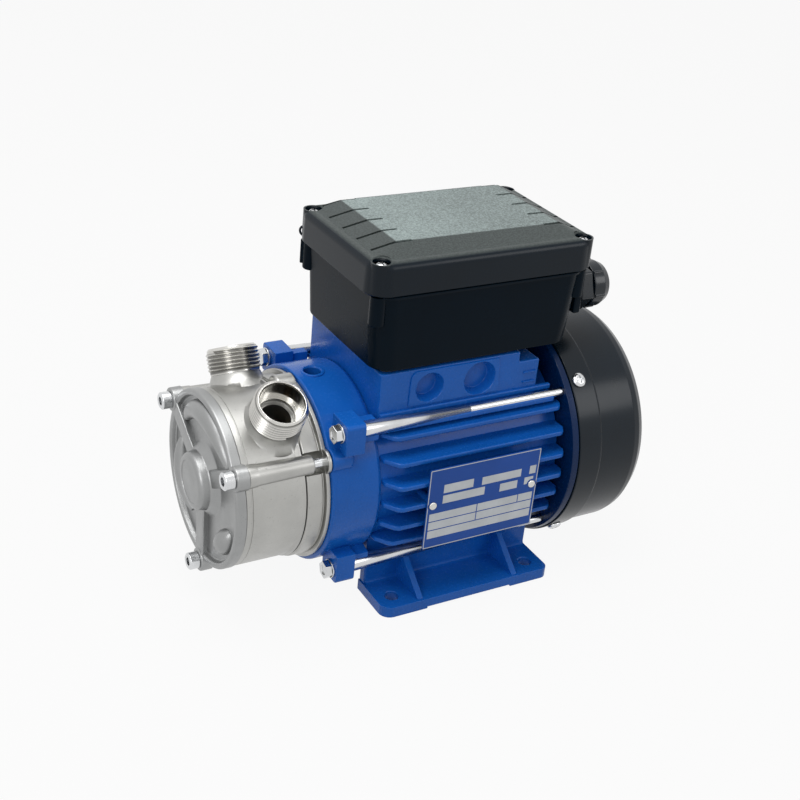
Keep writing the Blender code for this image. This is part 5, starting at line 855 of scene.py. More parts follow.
class PUMP_OT_body(bpy.types.Operator):
    """Build the cast pump body with its two ports and three screw sleeves"""

    bl_idname = "pump.body"
    bl_label = "Pump body and ports"

    def execute(self, context):
        p = pump()
        r = p.body_diameter / 2
        front = p.seam + 0.25
        body = turned("body", eased([
            (front, 37.0, 0), (front, r - 0.1, 0.3), (front + 2.4, r, 0), (front + 2.6, r - 0.35, 0.1),
            (front + 3.1, r - 0.35, 0.1),
            (front + 3.3, r, 0.1), (p.body_rear - 3.0, r, 0.6), (p.body_rear - 1.4, r + 0.7, 0.5),
            (p.body_rear, r + 0.7, 0.4),
            (p.body_rear, 37.0, 0),
        ], 0.3, 3))
        mouth, crest = p.port_mouth, p.thread_diameter / 2
        root = crest - 0.64 * p.thread_pitch
        start = mouth - p.thread_length
        neck = 24.2 / 2
        add, cut, machined = [], [], []
        for side in (-1, 1):
            lean = p.port_lean * MM * side
            axis = facing((0.0, math.sin(lean), math.cos(lean)), (p.port_place, 0.0, p.axis_height))
            flare = [(36.0, 0), (36.0, neck + 7.5), (r - 3.0, neck + 4.5)]
            flare += [(r - 0.5, neck + 1.9), (r + 1.6, neck + 0.7), (r + 3.4, neck + 0.1),
                      (start - 1.2, neck)]
            flare += [(start + 0.2, neck - 0.4), (start + 0.2, 0)]
            add.append(turned(f"port_{side}", flare, axis, 96))
            cut.append(turned(f"bore_{side}", [
                (30.0, 0), (30.0, 7.5), (mouth - 13.5, 7.5), (mouth - 13.5, 9.0), (mouth - 11.5, 9.0),
                (mouth - 11.5, 11.4), (mouth + 3.0, 11.4), (mouth + 3.0, 0)], axis, 96))
            machined.append((axis, side))
        for number, angle in enumerate(SCREW_TURNS):
            y, z = on_circle(p.screw_circle, angle)
            sleeve = eased([(front, 0), (front, 5.6, 0.3), (front + 4.5, 5.4, 0), (front + 5.0, 5.1, 0),
                            (-84.4, 4.5, 0.7), (-84.4, 0)], 0.4, 3)
            add.append(turned(f"sleeve_{number}", sleeve, shaft_line(y, z), FINE))
            cut.append(peg(f"hole_{number}", -125.0, -80.0, SCREW_HOLE, shaft_line(y, z)))
        lug = [(p.port_place + 6.0, 0), (p.port_place + 6.0, 5.0), (-84.0, 6.4), (-84.0, 0)]
        add.append(turned("top_web", lug, shaft_line(0.0, p.axis_height + 38.5), FINE))
        finish_piece(combined(body, add, cut), "pump_body_casting", "casting", replaces=["pump_body"])
        for axis, side in machined:
            self.port_thread(axis, side, mouth, crest, root, start)
        return {"FINISHED"}

    def port_thread(self, axis, side, mouth, crest, root, start):
        """The machined end of one port: threaded sleeve, mouth and inner ledge."""
        p = pump()
        sleeve = turned(f"sleeve_{side}", eased([
            (mouth - 11.6, 8.9, 0), (mouth - 11.6, 10.0, 0), (start + 0.1, root - 0.9, 0.2),
            (start - 0.3, root, 0.1),
            (start + 0.8, root, 0), (mouth - 0.9, root, 0), (mouth, root - 0.8, 0.15), (mouth, 10.9, 0.25),
            (mouth - 1.0, 10.5, 0.1), (mouth - 10.6, 10.5, 0.1), (mouth - 10.6, 8.9, 0.15),
        ], 0.1, 3, True), axis, 96)
        thread = grown(f"thread_{side}", TREES["thread"], Radius=root + 0.1, Pitch=p.thread_pitch,
                       Length=p.thread_length - 2.4, Ridge=p.thread_pitch * 0.46, Finish=LOOKS["machined"])
        thread.data.transform(axis @ Matrix.Translation((start + 1.0, 0.0,
                0.0)) @ Matrix.Rotation(math.pi / 2, 4, "Y"))
        join_meshes(sleeve, [thread])
        # groove: 0 on the crests to 1 in the roots, where the thread's finish paints shade
        groove = sleeve.data.attributes.new("groove", "FLOAT", "POINT")
        back = axis.inverted()
        for vertex, value in zip(sleeve.data.vertices, groove.data):
            x, y, z = back @ vertex.co
            away = (crest - 0.3 - math.hypot(y, z)) / (crest - 0.3 - root)
            outside = start + 0.5 < x < mouth - 0.95 and math.hypot(y, z) > root - 1.0
            value.value = min(max(away, 0.0), 1.0) if outside else 0.0
        label = "near" if side < 0 else "far"
        finish_piece(sleeve, f"port_thread_{label}", "thread")


class PUMP_OT_back_plate(bpy.types.Operator):
    """Build the plate between pump and motor, with its band, lugs and top boss"""

    bl_idname = "pump.back_plate"
    bl_label = "Back plate"

    def execute(self, context):
        p = pump()
        plate = turned("plate", eased([
            (-87.2, 34.0, 0), (-87.2, 45.0, 1.1), (-79.6, 45.0, 0.3), (-79.0, 44.2, 0.3), (-78.6, 44.4, 0.2),
            (-78.4, 47.0, 0.3),
            (-76.5, 47.0, 0.2), (-76.5, 8.0, 0), (-80.0, 8.0, 0), (-80.0, 33.6, 0),
        ], 0.3, 4))
        add = [turned("top_lug", eased([(-86.8, 0), (-86.8, 8.0, 1.8), (-76.9, 8.0, 0.6), (-76.9, 0)], 1.0,
                                       5),
                      shaft_line(0.0, p.axis_height + 41.0), FINE)]
        cut = []
        for number, angle in enumerate(SCREW_TURNS):
            at = shaft_line(*on_circle(p.screw_circle, angle))
            add.append(turned(f"ear_{number}", eased([(-78.3, 0), (-78.3, 6.0, 0.4), (-76.6, 6.0, 0.3),
                    (-76.6, 0)], 0.3, 3), at, FINE))
            cut.append(peg(f"notch_{number}", -92.0, -78.4, 5.7, at))
        finish_piece(combined(plate, add, cut), "pump_back_plate", "casting", replaces=["back_plate"])
        return {"FINISHED"}


class PUMP_OT_cover_screws(bpy.types.Operator):
    """Build the three long socket-head screws"""

    bl_idname = "pump.cover_screws"
    bl_label = "Cover screws"

    def execute(self, context):
        p = pump()
        r = p.screw_head / 2
        place = Matrix.Translation((0.0, 0.0, p.screw_circle))
        head = eased([(-66.4, 0), (-67.6, 2.3, 0.1), (-123.4, 2.4, 0), (-123.4, r - 0.1, 0.15),
                      (-127.9, r - 0.05, 0.5), (-128.55, r - 0.9, 0.2),
                      (-128.55, 2.9, 0.1), (-128.2, 2.55, 0.1), (-128.2, 0)], 0.2, 3)
        screw = turned("screw", head, place, FINE)
        socket = prism("socket", hexagon(4.1, (0.0, p.screw_circle)), -131.0, -125.6, "X")
        screw = combined(screw, cut=[socket])
        ring = copies_round_shaft("cover_screws", screw, 3, 0.0, "zinc")
        # The first copy stands at the bottom, the others a third of a turn apart.
        ring.data.transform(Matrix.Translation((0, 0, p.axis_height)) @ Matrix.Rotation(math.pi, 4,
                "X") @ Matrix.Translation((0, 0, -p.axis_height)))
        finish_piece(ring, "cover_screw_set", "zinc", replaces=[f"cover_screw_{n}" for n in (1, 2, 3)])
        return {"FINISHED"}


# The motor


class PUMP_OT_flange(bpy.types.Operator):
    """Build the blue drive-end flange with its bosses, tie-rod ears and drain hole"""

    bl_idname = "pump.flange"
    bl_label = "Motor flange"

    def execute(self, context):
        p, m = pump(), motor()
        r = m.flange / 2
        flange = turned("flange", eased([
            (-76.2, 8.0, 0), (-76.2, r, 1.0), (-52.0, r - 0.4, 0.5), (-50.25, r - 1.4, 0.3),
            (-50.25, 41.9, 0), (-46.5, 41.9, 0),
            (-46.5, 39.0, 0), (-64.0, 39.0, 0), (-64.0, 22.0, 0), (-50.6, 22.0, 0), (-50.6, 17.6, 0),
            (-61.9, 17.6, 0), (-61.9, 10.7, 0),
            (-64.9, 10.7, 0), (-64.9, 44.0, 0), (-72.2, 44.0, 0), (-72.2, 8.0, 0),
        ], 0.4, 4))
        add, cut = [], []
        for number, angle in enumerate(SCREW_TURNS):
            at = shaft_line(*on_circle(p.screw_circle, angle))
            boss = eased([(-75.9, 0), (-75.9, 6.0, 0.8), (-65.6, 5.8, 2.2), (-63.6, 3.0, 0.8), (-63.2, 0)],
                         1.2, 5)
            add.append(turned(f"boss_{number}", boss, at, FINE))
            cut.append(peg(f"boss_hole_{number}", -80.0, -66.0, 2.6, at, 32))
        for number, angle in enumerate(TIE_TURNS):
            y, z = on_circle(m.rod_circle, angle)
            side, rise = (1 if y > 0 else -1), (1 if z > p.axis_height else -1)
            outline = eased([(y + side * 6.0, z - rise * 9.6), (y + side * 6.0, z + rise * 6.0, 2.4),
                             (y - side * 9.6, z + rise * 6.0)]
                            + [(y - side * 9.6, z - rise * 9.6)], 0.0, 5, True)
            add.append(prism(f"tie_ear_{number}", outline, -71.0, -61.0, "X", 0.5, 2))
            inward = [(y + side * 2.0, z - rise * 6.0), (y + side * 2.0, z + rise * 3.2, 2.0),
                      (y - side * 7.0, z + rise * 3.2), (y - side * 9.0, z - rise * 9.0)]
            add.append(prism(f"tie_rib_{number}", eased(inward, 0.0, 4, True), -61.5, -52.0, "X", 0.4, 2))
            cut.append(peg(f"tie_hole_{number}", -74.0, -49.0, m.rod / 2 + 0.3, shaft_line(y, z), 32))
        up = Matrix.Translation((-66.5, 0.0, p.axis_height)) @ UP
        add.append(turned("drain_rim", eased([(44.5, 0), (44.5, 6.2, 0), (r + 0.35, 5.9, 0.5), (r + 0.35, 0)],
                0.4, 3), up, FINE))
        cut.append(turned("drain", [(41.0, 0), (41.0, 4.2), (r - 0.4, 4.2), (r + 0.5, 4.8), (r + 3.0, 4.8),
                                    (r + 3.0, 0)], up, FINE))
        finish_piece(combined(flange, add, cut), "drive_end_flange", "blue", replaces=["motor_flange"])
        return {"FINISHED"}


def fin_plan(side, inner, tip):
    """One fin from above, its ends swept back from the tip."""
    return eased([
        (-49.4, side * inner), (-49.4, side * (tip - 7.5), 2.0), (-44.0, side * tip, 5.0),
        (49.0, side * tip, 3.0), (52.0, side * (tip - 4.5), 1.5), (52.0, side * inner),
    ], 2.0, 5, True)


def fin_heights():
    pitch = motor().fin_pitch
    return [pump().axis_height + 31.5 - pitch * number for number in range(6)]


class PUMP_OT_housing(bpy.types.Operator):
    """Build the finned housing with its terminal pedestal and feet"""

    bl_idname = "pump.housing"
    bl_label = "Motor housing"

    def execute(self, context):
        p, m = pump(), motor()
        r, tip = m.barrel / 2, m.fin_tip / 2
        mid = p.axis_height
        housing = turned("housing", eased([(-50.0, HOUSING_BORE, 0), (-50.0, r, 0.6), (52.5, r, 0.6),
                                           (52.5, HOUSING_BORE, 0)], 0.5, 3))
        add, cut = [], []
        for side in (-1, 1):
            for number, z in enumerate(fin_heights()):
                lift = z - mid
                reach = math.sqrt(tip**2 - lift**2)
                inner = math.sqrt(r**2 - lift**2) - 4.0
                fin = prism(f"fin_{side}_{number}", fin_plan(side, inner, reach), z - m.fin_thick / 2,
                            z + m.fin_thick / 2, "Z", 0.75, 3)
                add.append(fin)
            add += self.foot(side)
        add += self.pedestal()
        cut.append(peg("bore", -60.0, 60.0, HOUSING_BORE, None, ROUND))
        for side in (-1, 1):
            for number, x in enumerate((-23.0, 5.0)):
                size = 7.5 + number * 1.3
                at = facing((0.0, side, 0.0), (x, 0.0, 114.2))
                knock = [(32.4, 0), (32.4, size - 1.5, 0.5), (37.3, size - 0.2, 0), (38.0, size + 0.5, 0),
                         (42.0, size + 0.5), (42.0, 0)]
                cut.append(turned(f"knock_{side}_{number}", eased(knock, 0.2, 3), at, FINE))
            for x in (-40.0, 40.0):
                at = Matrix.Translation((x, side * 50.0, 0.0)) @ UP
                cut.append(turned(f"foot_hole_{side}_{x}", [(-2.0, 0), (-2.0, 3.5), (5.6, 3.5), (6.1, 4.0),
                        (8.0, 4.0), (8.0, 0)], at, FINE))
        cut.append(block("relief", (-24.0, -62.0, -2.0), (25.7, 62.0, 1.2)))
        cut.append(block("window", (-26.0, -12.0, 90.0), (4.0, 12.0, 130.0)))
        finish_piece(combined(housing, add, cut), "motor_housing_casting", "blue", replaces=["motor_housing"])
        return {"FINISHED"}

    def pedestal(self):
        """The terminal pedestal with its ear, ledge, panel and rivet bosses."""
        p, m = pump(), motor()
        mid = p.axis_height
        pieces = []
        outline = [(-49.6, 87.0), (40.0, 87.0), (40.0, 119.0), (28.0, 119.0), (28.0, 124.5), (-49.6, 124.5)]
        pieces.append(prism("pedestal", outline, -37.0, 37.0, "Y", 0.9, 3))
        for side in (-1, 1):
            y = sorted((side * 36.0, side * 38.4))
            pieces.append(block(f"ledge_{side}", (-49.0, y[0], mid + 38.5), (48.0, y[1], mid + 41.3), 0.7, 3))
            y = sorted((side * 36.5, side * 37.8))
            panel = eased([(-34.0, mid + 42.4), (17.0, mid + 42.4), (15.5, 123.6), (-33.6, 123.6, 4.0)], 0.8,
                          5, True)
            pieces.append(prism(f"panel_{side}", panel, *y, "Y", 0.4, 2))
            for number, z in enumerate((112.4, 107.0)):
                pieces.append(block(f"ear_rib_{side}_{number}", (31.0, y[0], z), (38.5, y[1], z + 0.9), 0.3,
                                    2))
            y = sorted((side * 30.0, side * 44.5))
            pieces.append(block(f"shoulder_{side}", (-49.4, y[0], mid + 34.5), (47.0, y[1], mid + 37.4), 0.8,
                                3))
        z = fin_heights()[RIVET_FIN]
        reach = math.sqrt((m.fin_tip / 2) ** 2 - (z - mid) ** 2)
        for x in (-27.05, 30.05):
            at = facing((0.0, -1.0, 0.0), (x, 0.0, z))
            pieces.append(turned(f"rivet_boss_{x}", [(42.0, 0), (42.0, 2.8), (reach - 0.2, 2.4),
                    (reach - 0.2, 0)], at, FINE))
        return pieces

    def foot(self, side):
        """One foot plate with its web and two gussets."""
        p, m = pump(), motor()
        inner = side * 31.0
        plan = [(-49.0, inner), (-49.0, side * 59.5, 6.0), (49.0, side * 59.5, 4.0), (49.0, inner)]
        pieces = [prism(f"plate_{side}", eased(plan, 0.3, 6, True), 0.0, 6.0, "Z", 0.9, 3)]
        top = p.axis_height - math.sqrt((m.barrel / 2) ** 2 - 36.0**2) + 7.0
        low, high = sorted((side * 31.2, side * 36.0))
        pieces.append(block(f"web_{side}", (-48.4, low, 3.0), (48.4, high, top), 0.7, 3))
        fillet = [(side * 35.0, 4.5), (side * 38.6, 5.9), (side * 36.9, 6.8), (side * 35.9, 8.8),
                  (side * 35.0, 8.8)]
        pieces.append(prism(f"web_fillet_{side}", fillet, -47.8, 47.8, "X"))
        for number, x in enumerate((-28.0, 28.0)):
            outline = [(side * 34.0, 4.0), (side * 58.2, 4.0), (side * 58.2, 6.4, 0.6),
                       (side * 39.2, 21.5, 2.0), (side * 34.0, 21.5)]
            pieces.append(prism(f"gusset_{side}_{number}", eased(outline, 0.3, 4, True), x - 1.6, x + 1.6,
                                "X", 0.6, 3))
        return pieces


class PUMP_OT_tie_rods(bpy.types.Operator):
    """Build the four tie rods with their flanged hexagon heads"""

    bl_idname = "pump.tie_rods"
    bl_label = "Tie rods"

    def execute(self, context):
        p, m = pump(), motor()
        r = m.rod / 2
        rod = turned("rod", eased([
            (-72.1, 4.5, 0), (-72.1, 4.75, 0.2), (-71.2, 4.75, 0.2), (-71.2, r, 0), (59.2, r, 0.5),
            (59.7, r - 0.5, 0), (59.7, 0)], 0.2, 3), AT_ORIGIN, FINE)
        head = prism("head", hexagon(8.0, (0.0, 0.0), 12.0), -75.3, -71.8, "X", 0.35, 2)
        crown = turned("crown", [(-80.0, 3.0), (-74.6, 5.4), (-71.0, 5.4), (-71.0, 9.0), (-80.0, 9.0)],
                       AT_ORIGIN, FINE)
        dish = turned("dish", [(-79.0, 0), (-79.0, 2.6), (-75.2, 2.6), (-74.7, 2.1), (-74.7, 0)], AT_ORIGIN,
                      FINE)
        head = combined(head, cut=[crown, dish])
        rod = combined(rod, [head])
        y, z = on_circle(m.rod_circle, TIE_TURNS[0])
        size = (2 * (z - p.axis_height), 2 * abs(y))
        rods = copies_on_grid("rods", rod, size, (0.0, 0.0, p.axis_height), "zinc", (0.0, math.pi / 2, 0.0))
        finish_piece(rods, "tie_rod_set", "zinc", replaces=[f"tie_rod_{n}" for n in (1, 2, 3, 4)])
        return {"FINISHED"}


class PUMP_OT_rear_shield(bpy.types.Operator):
    """Build the rear shield behind the fins, in a dark copy of the blue enamel that stands for painted shade
    """

    bl_idname = "pump.rear_shield"
    bl_label = "Rear shield"

    def execute(self, context):
        m = motor()
        shield = turned("shield", eased([
            (48.75, 39.0, 0), (48.75, 41.9, 0), (52.75, 41.9, 0), (52.75, 48.0, 0), (52.75, 60.0, 0.8),
            (56.2, 60.5, 0.4), (56.2, 58.7, 0),
            (66.0, 58.7, 0), (66.0, 50.7, 0), (58.2, 49.7, 0), (58.2, 22.6, 0), (68.6, 21.6, 0),
            (68.6, 9.5, 0), (65.9, 9.5, 0),
            (65.9, 17.6, 0), (54.6, 17.6, 0), (54.6, 39.0, 0)], 0.3, 4))
        cut = []
        for number, angle in enumerate(TIE_TURNS):
            at = shaft_line(*on_circle(m.rod_circle, angle))
            cut.append(peg(f"rod_hole_{number}", 49.0, 60.7, 2.4, at, 32))
        finish_piece(combined(shield, cut=cut), "rear_shield_casting", "painted_shade_blue", replaces=["rear_shield"])
        return {"FINISHED"}


class PUMP_OT_fan_cover(bpy.types.Operator):
    """Build the fan cover with its slotted rear and four screws"""

    bl_idname = "pump.fan_cover"
    bl_label = "Fan cover"

    def execute(self, context):
        m = motor()
        r = m.cover / 2
        cover = turned("cowl", eased([
            (56.45, r - 2.0, 0.3), (56.45, r, 0.5), (69.2, r, 0.5), (70.6, r - 1.3, 0.8),
            (92.0, r - 1.4, 4.0), (95.5, r - 2.2, 3.0), (99.5, r - 5.0, 2.5),
            (101.2, r - 8.0, 2.0), (104.0, r - 12.5, 2.5), (104.0, 0), (102.0, 0), (102.0, r - 13.5, 1.5),
            (99.4, r - 9.5, 1.5), (97.6, r - 6.4, 2.0),
            (94.0, r - 4.3, 2.0), (70.2, r - 3.4, 0.5), (69.0, r - 2.0, 0.5)], 0.5, 4, False), None, 160)
        slot_plan = [(-2.5, 14.0, 2.4), (2.5, 14.0, 2.4), (2.5, 45.0, 2.4), (-2.5, 45.0, 2.4)]
        bar = prism("slot", eased(slot_plan, 2.4, 5, True), 98.0, 108.0, "X")
        slots = copies_round_shaft("slots", bar, m.group.slots, 15.0, "cowl")
        ring = turned("rear_ring", eased([(103.4, 46.6), (104.0, 46.9, 0.2), (104.0, 48.6, 0.2),
                                          (103.4, 48.9)], 0.2, 2, True))
        cover = combined(cover, cut=[slots, ring])
        finish_piece(cover, "fan_cover_moulding", "cowl", replaces=["fan_cover"],
                     angle=28)
        screw = turned("screw", eased([
            (54.0, 0), (54.0, 2.0, 0.1), (r + 0.1, 2.0, 0), (r + 0.1, 3.8, 0.2), (r + 1.0, 3.6, 0.6),
            (r + 1.9, 2.4, 0.6), (r + 2.15, 0)], 0.3, 4),
            facing((0.0, 0.0, 1.0), (61.4, 0.0, 0.0)), FINE)
        bars = [block(f"cross_{i}", (61.4 - a, -b, r + 0.9), (61.4 + a, b, r + 4.0)) for i,
                (a, b) in enumerate(((2.2, 0.45), (0.45, 2.2)))]
        screw = combined(screw, cut=bars)
        screws = copies_round_shaft("screws", screw, 4, 45.0, "zinc")
        finish_piece(screws, "fan_cover_screw_set", "zinc", replaces=[f"fan_cover_screw_{n}" for n in (1, 2,
                3, 4)])
        return {"FINISHED"}


# The terminal box


def base_outline(share, grow=0.0):
    """The outline of the box base at a share of its height."""
    low_x, high_x = -53.0 - 2.2 * share, 56.6 + 3.2 * share
    low_y, high_y = -37.6 - 0.8 * share, 40.6 + 0.7 * share
    centre = ((low_x + high_x) / 2, (low_y + high_y) / 2)
    return rounded(high_x - low_x + 2 * grow, high_y - low_y + 2 * grow, terminal_box().corner + grow, centre)


def lid_screw_places():
    b = terminal_box()
    return b.lid_length / 2 - LID_SCREW_INSET, b.lid_width / 2 - LID_SCREW_INSET


def lid_screw_lines():
    """The upright axis of each lid screw, under the signs of its corner."""
    b = terminal_box()
    along, across = lid_screw_places()
    return {f"{sx}_{sy}": Matrix.Translation((b.middle_x + sx * along, b.middle_y + sy * across, 0.0)) @ UP
            for sx in (-1, 1) for sy in (-1, 1)}


class PUMP_OT_box_base(bpy.types.Operator):
    """Build the terminal box base with its rim and gland pad"""

    bl_idname = "pump.box_base"
    bl_label = "Terminal box base"

    def execute(self, context):
        b = terminal_box()
        low, seam = 126.0, b.seam
        base = stacked("base", [(base_outline(0.0, -0.8), low), (base_outline(0.0, -0.2), low + 0.3),
                                (base_outline(0.02), low + 0.9),
                                (base_outline(0.965), seam - 1.5), (base_outline(0.968, 1.1), seam - 1.3),
                                (base_outline(1.0, 1.3), seam - 0.3), (base_outline(1.0, 1.0), seam)])
        hollow = stacked("hollow", [(base_outline(0.1, -2.6), low + 2.6),
                                    (base_outline(1.1, -2.6), seam + 3.0)])
        add, cut = [], [hollow]
        add.append(block("gland_pad", (58.0, -34.5, 139.5), (GLAND_WALL, -9.5, 162.6), 1.0, 3))
        cut.append(peg("gland_hole", 50.0, 70.0, 8.3, shaft_line(GLAND_Y, GLAND_Z)))
        cut.append(block("window", (-26.0, -12.0, 120.0), (4.0, 12.0, 132.0)))
        post = eased([(seam - 15.2, 0), (seam - 15.2, 4.0, 1.0), (seam - 0.6, 4.0, 0), (seam - 0.6, 0)], 0.4,
                     4)
        for corner, place in lid_screw_lines().items():
            add.append(turned(f"post_{corner}", post, place, FINE))
        tab = block("tab", (7.4, -1.5, seam - 13.0), (12.2, 1.5, seam - 0.4), 0.5, 2)
        tab.data.transform(Matrix.Translation((-47.85, 31.35, 0.0)) @ Matrix.Rotation(math.radians(135), 4,
                "Z"))
        add.append(tab)
        base = combined(base, add, cut)
        finish_piece(base, "terminal_box_tub", "plastic", replaces=["terminal_box_base"])
        return {"FINISHED"}


class PUMP_OT_box_lid(bpy.types.Operator):
    """Build the terminal box lid with its raised field, slots and screw recesses"""

    bl_idname = "pump.box_lid"
    bl_label = "Terminal box lid"

    def execute(self, context):
        b = terminal_box()
        length, width, corner = b.lid_length, b.lid_width, b.corner
        at = (b.middle_x, b.middle_y)
        base, edge, top = b.seam + 0.25, b.seam + LID_EDGE, b.seam + LID_EDGE + 3.0
        fillet_high, fillet_in = 4.2, 3.9
        layers = [(rounded(length - 0.8, width - 0.8, corner + 0.2, at), base),
                  (rounded(length, width, corner + 0.5, at), base + 0.5),
                  (rounded(length - 0.8, width - 0.8, corner, at), edge - fillet_high)]
        for step in range(1, 9):
            turn = math.radians(90 * step / 8)
            inset = 0.8 + 2 * fillet_in * (1 - math.cos(turn))
            layers.append((rounded(length - inset, width - inset, corner - inset / 2, at),
                           edge - fillet_high + fillet_high * math.sin(turn)))
        lid = stacked("lid", layers)
        middle = (b.field_x, b.field_y)
        flat = (b.field_length, b.field_width)
        crown = [(rounded(length - 12.0, width - 12.0, 4.0, at), edge - 2.5),
                 (rounded(length - 10.5, width - 10.5, 4.6, at), edge - 0.1),
                 (rounded(flat[0] + 1.4, flat[1] + 1.4, 2.2, middle), top - 0.16),
                 (rounded(*flat, 1.6, middle), top)]
        add = [stacked("crown", crown), self.eye()]
        inner = [(rounded(length - 5.2, width - 5.2, corner - 2.0, at), base - 3.0),
                 (rounded(length - 6.2, width - 6.2, corner - 2.4, at), edge - 2.0)]
        cut = [stacked("hollow", inner)]
        recess = [(base - 3.0, 0), (base - 3.0, 1.9), (edge - 3.4, 1.9), (edge - 3.4, 4.1), (edge - 0.5, 4.2),
                  (edge + 0.1, 4.8), (edge + 4.0, 4.8), (edge + 4.0, 0)]
        for name, place in lid_screw_lines().items():
            add.append(peg(f"post_{name}", base + 1.0, edge - 0.6, 5.0, place))
            cut.append(turned(f"recess_{name}", recess, place, FINE))
        first = b.field_y - b.slot_pitch * 2
        front, rear = b.field_x - b.field_length / 2, b.field_x + b.field_length / 2
        for knee, inner, outer, drop in ((front, front + 8.0, -52.0, 2.75), (rear, rear - 9.0, 62.4, 4.1)):
            outline = [(inner, top - 1.2), (knee, top - 1.2), (outer, top - 1.0 - drop), (outer, top + 4.0),
                       (inner, top + 4.0)]
            for number in range(5):
                y = first + b.slot_pitch * number
                cut.append(prism(f"slot_{outer}_{number}", outline, y - 0.85, y + 0.85, "Y"))
        finish_piece(combined(lid, add, cut), "terminal_box_cover", "lid", replaces=["terminal_box_lid"])
        return {"FINISHED"}

    def eye(self):
        """The small hanging eye at the far front corner of the lid."""
        steps = [2 * math.pi * i / 12 for i in range(12)]
        wire = [(0.6 * math.cos(turn), 2.4 + 0.6 * math.sin(turn)) for turn in steps]
        b = terminal_box()
        reach = b.corner + 0.5 - 9.9 * math.sqrt(0.5)
        spot = (b.middle_x - b.lid_length / 2 + reach, b.middle_y + b.lid_width / 2 - reach, b.seam + 3.45)
        return turned("eye", wire, facing((1.0, 1.0, 0.0), spot), 32)


class PUMP_OT_box_screws(bpy.types.Operator):
    """Build the lid's four cross-recess screws"""

    bl_idname = "pump.box_screws"
    bl_label = "Lid screws"

    def execute(self, context):
        b = terminal_box()
        seat = b.seam + LID_EDGE - 3.2
        along, across = lid_screw_places()
        screw = turned("screw", eased([(seat - 20.0, 0), (seat - 20.0, 1.7, 0.1), (seat, 1.7, 0),
                                       (seat, 3.0, 0.2), (seat + 1.3, 2.9, 0.5), (seat + 2.0, 1.6, 0.6),
                                       (seat + 2.2, 0)], 0.3, 4), UP, FINE)
        bars = [block(f"cross_{i}", (-x, -y, seat + 0.9), (x, y, seat + 4.0)) for i,
                (x, y) in enumerate(((1.9, 0.4), (0.4, 1.9)))]
        screw = combined(screw, cut=bars)
        screws = copies_on_grid("lid_screws", screw, (2 * along, 2 * across), (b.middle_x, b.middle_y, 0.0),
                                "zinc")
        finish_piece(screws, "lid_screw_set", "zinc", replaces=[f"lid_screw_{n}" for n in (1, 2, 3, 4)])
        return {"FINISHED"}


class PUMP_OT_gland(bpy.types.Operator):
    """Build the cable gland and its ribbed nut"""

    bl_idname = "pump.gland"
    bl_label = "Cable gland"

    def execute(self, context):
        at = shaft_line(GLAND_Y, GLAND_Z)
        wall = GLAND_WALL
        body = turned("gland", eased([(wall - 6.0, 4.5, 0), (wall - 6.0, 8.0, 0.3), (75.0, 8.0, 0.3),
                                      (75.0, 4.5, 0)], 0.3, 3), at, 64)
        collar = prism("collar", hexagon(22.0, (GLAND_Y, GLAND_Z), 10.0), wall + 0.2, wall + 7.6, "X", 0.8, 3)
        hole = peg("hole", 50.0, 90.0, 6.0, at)
        collar = combined(collar, cut=[hole])
        finish_piece(join_meshes(body, [collar]), "gland_fitting", "gland", replaces=["gland_body"])
        start = wall + 8.3
        nut = turned("nut", eased([(start, 8.4, 0), (start, 11.6, 0.6), (start + 6.0, 11.8, 0.8),
                                   (start + 9.6, 10.2, 1.5), (start + 12.0, 7.2, 0.8),
                                   (start + 12.0, 5.1, 0.3), (start + 5.0, 5.1, 0), (start + 4.6, 8.4, 0)],
                                  0.4, 5, True), at, 72)
        ribs = []
        for number in range(6):
            turn = math.radians(10 + 60 * number)
            y, z = GLAND_Y + 11.3 * math.cos(turn), GLAND_Z + 11.3 * math.sin(turn)
            ribs.append(turned(f"rib_{number}", eased([(start + 0.3, 0), (start + 0.3, 1.1, 0.4),
                    (start + 6.3, 1.0, 0.5), (start + 6.3, 0)], 0.4, 3), shaft_line(y, z), 24))
        nut = combined(nut, ribs)
        finish_piece(nut, "gland_cap", "gland", replaces=["gland_nut"])
        return {"FINISHED"}


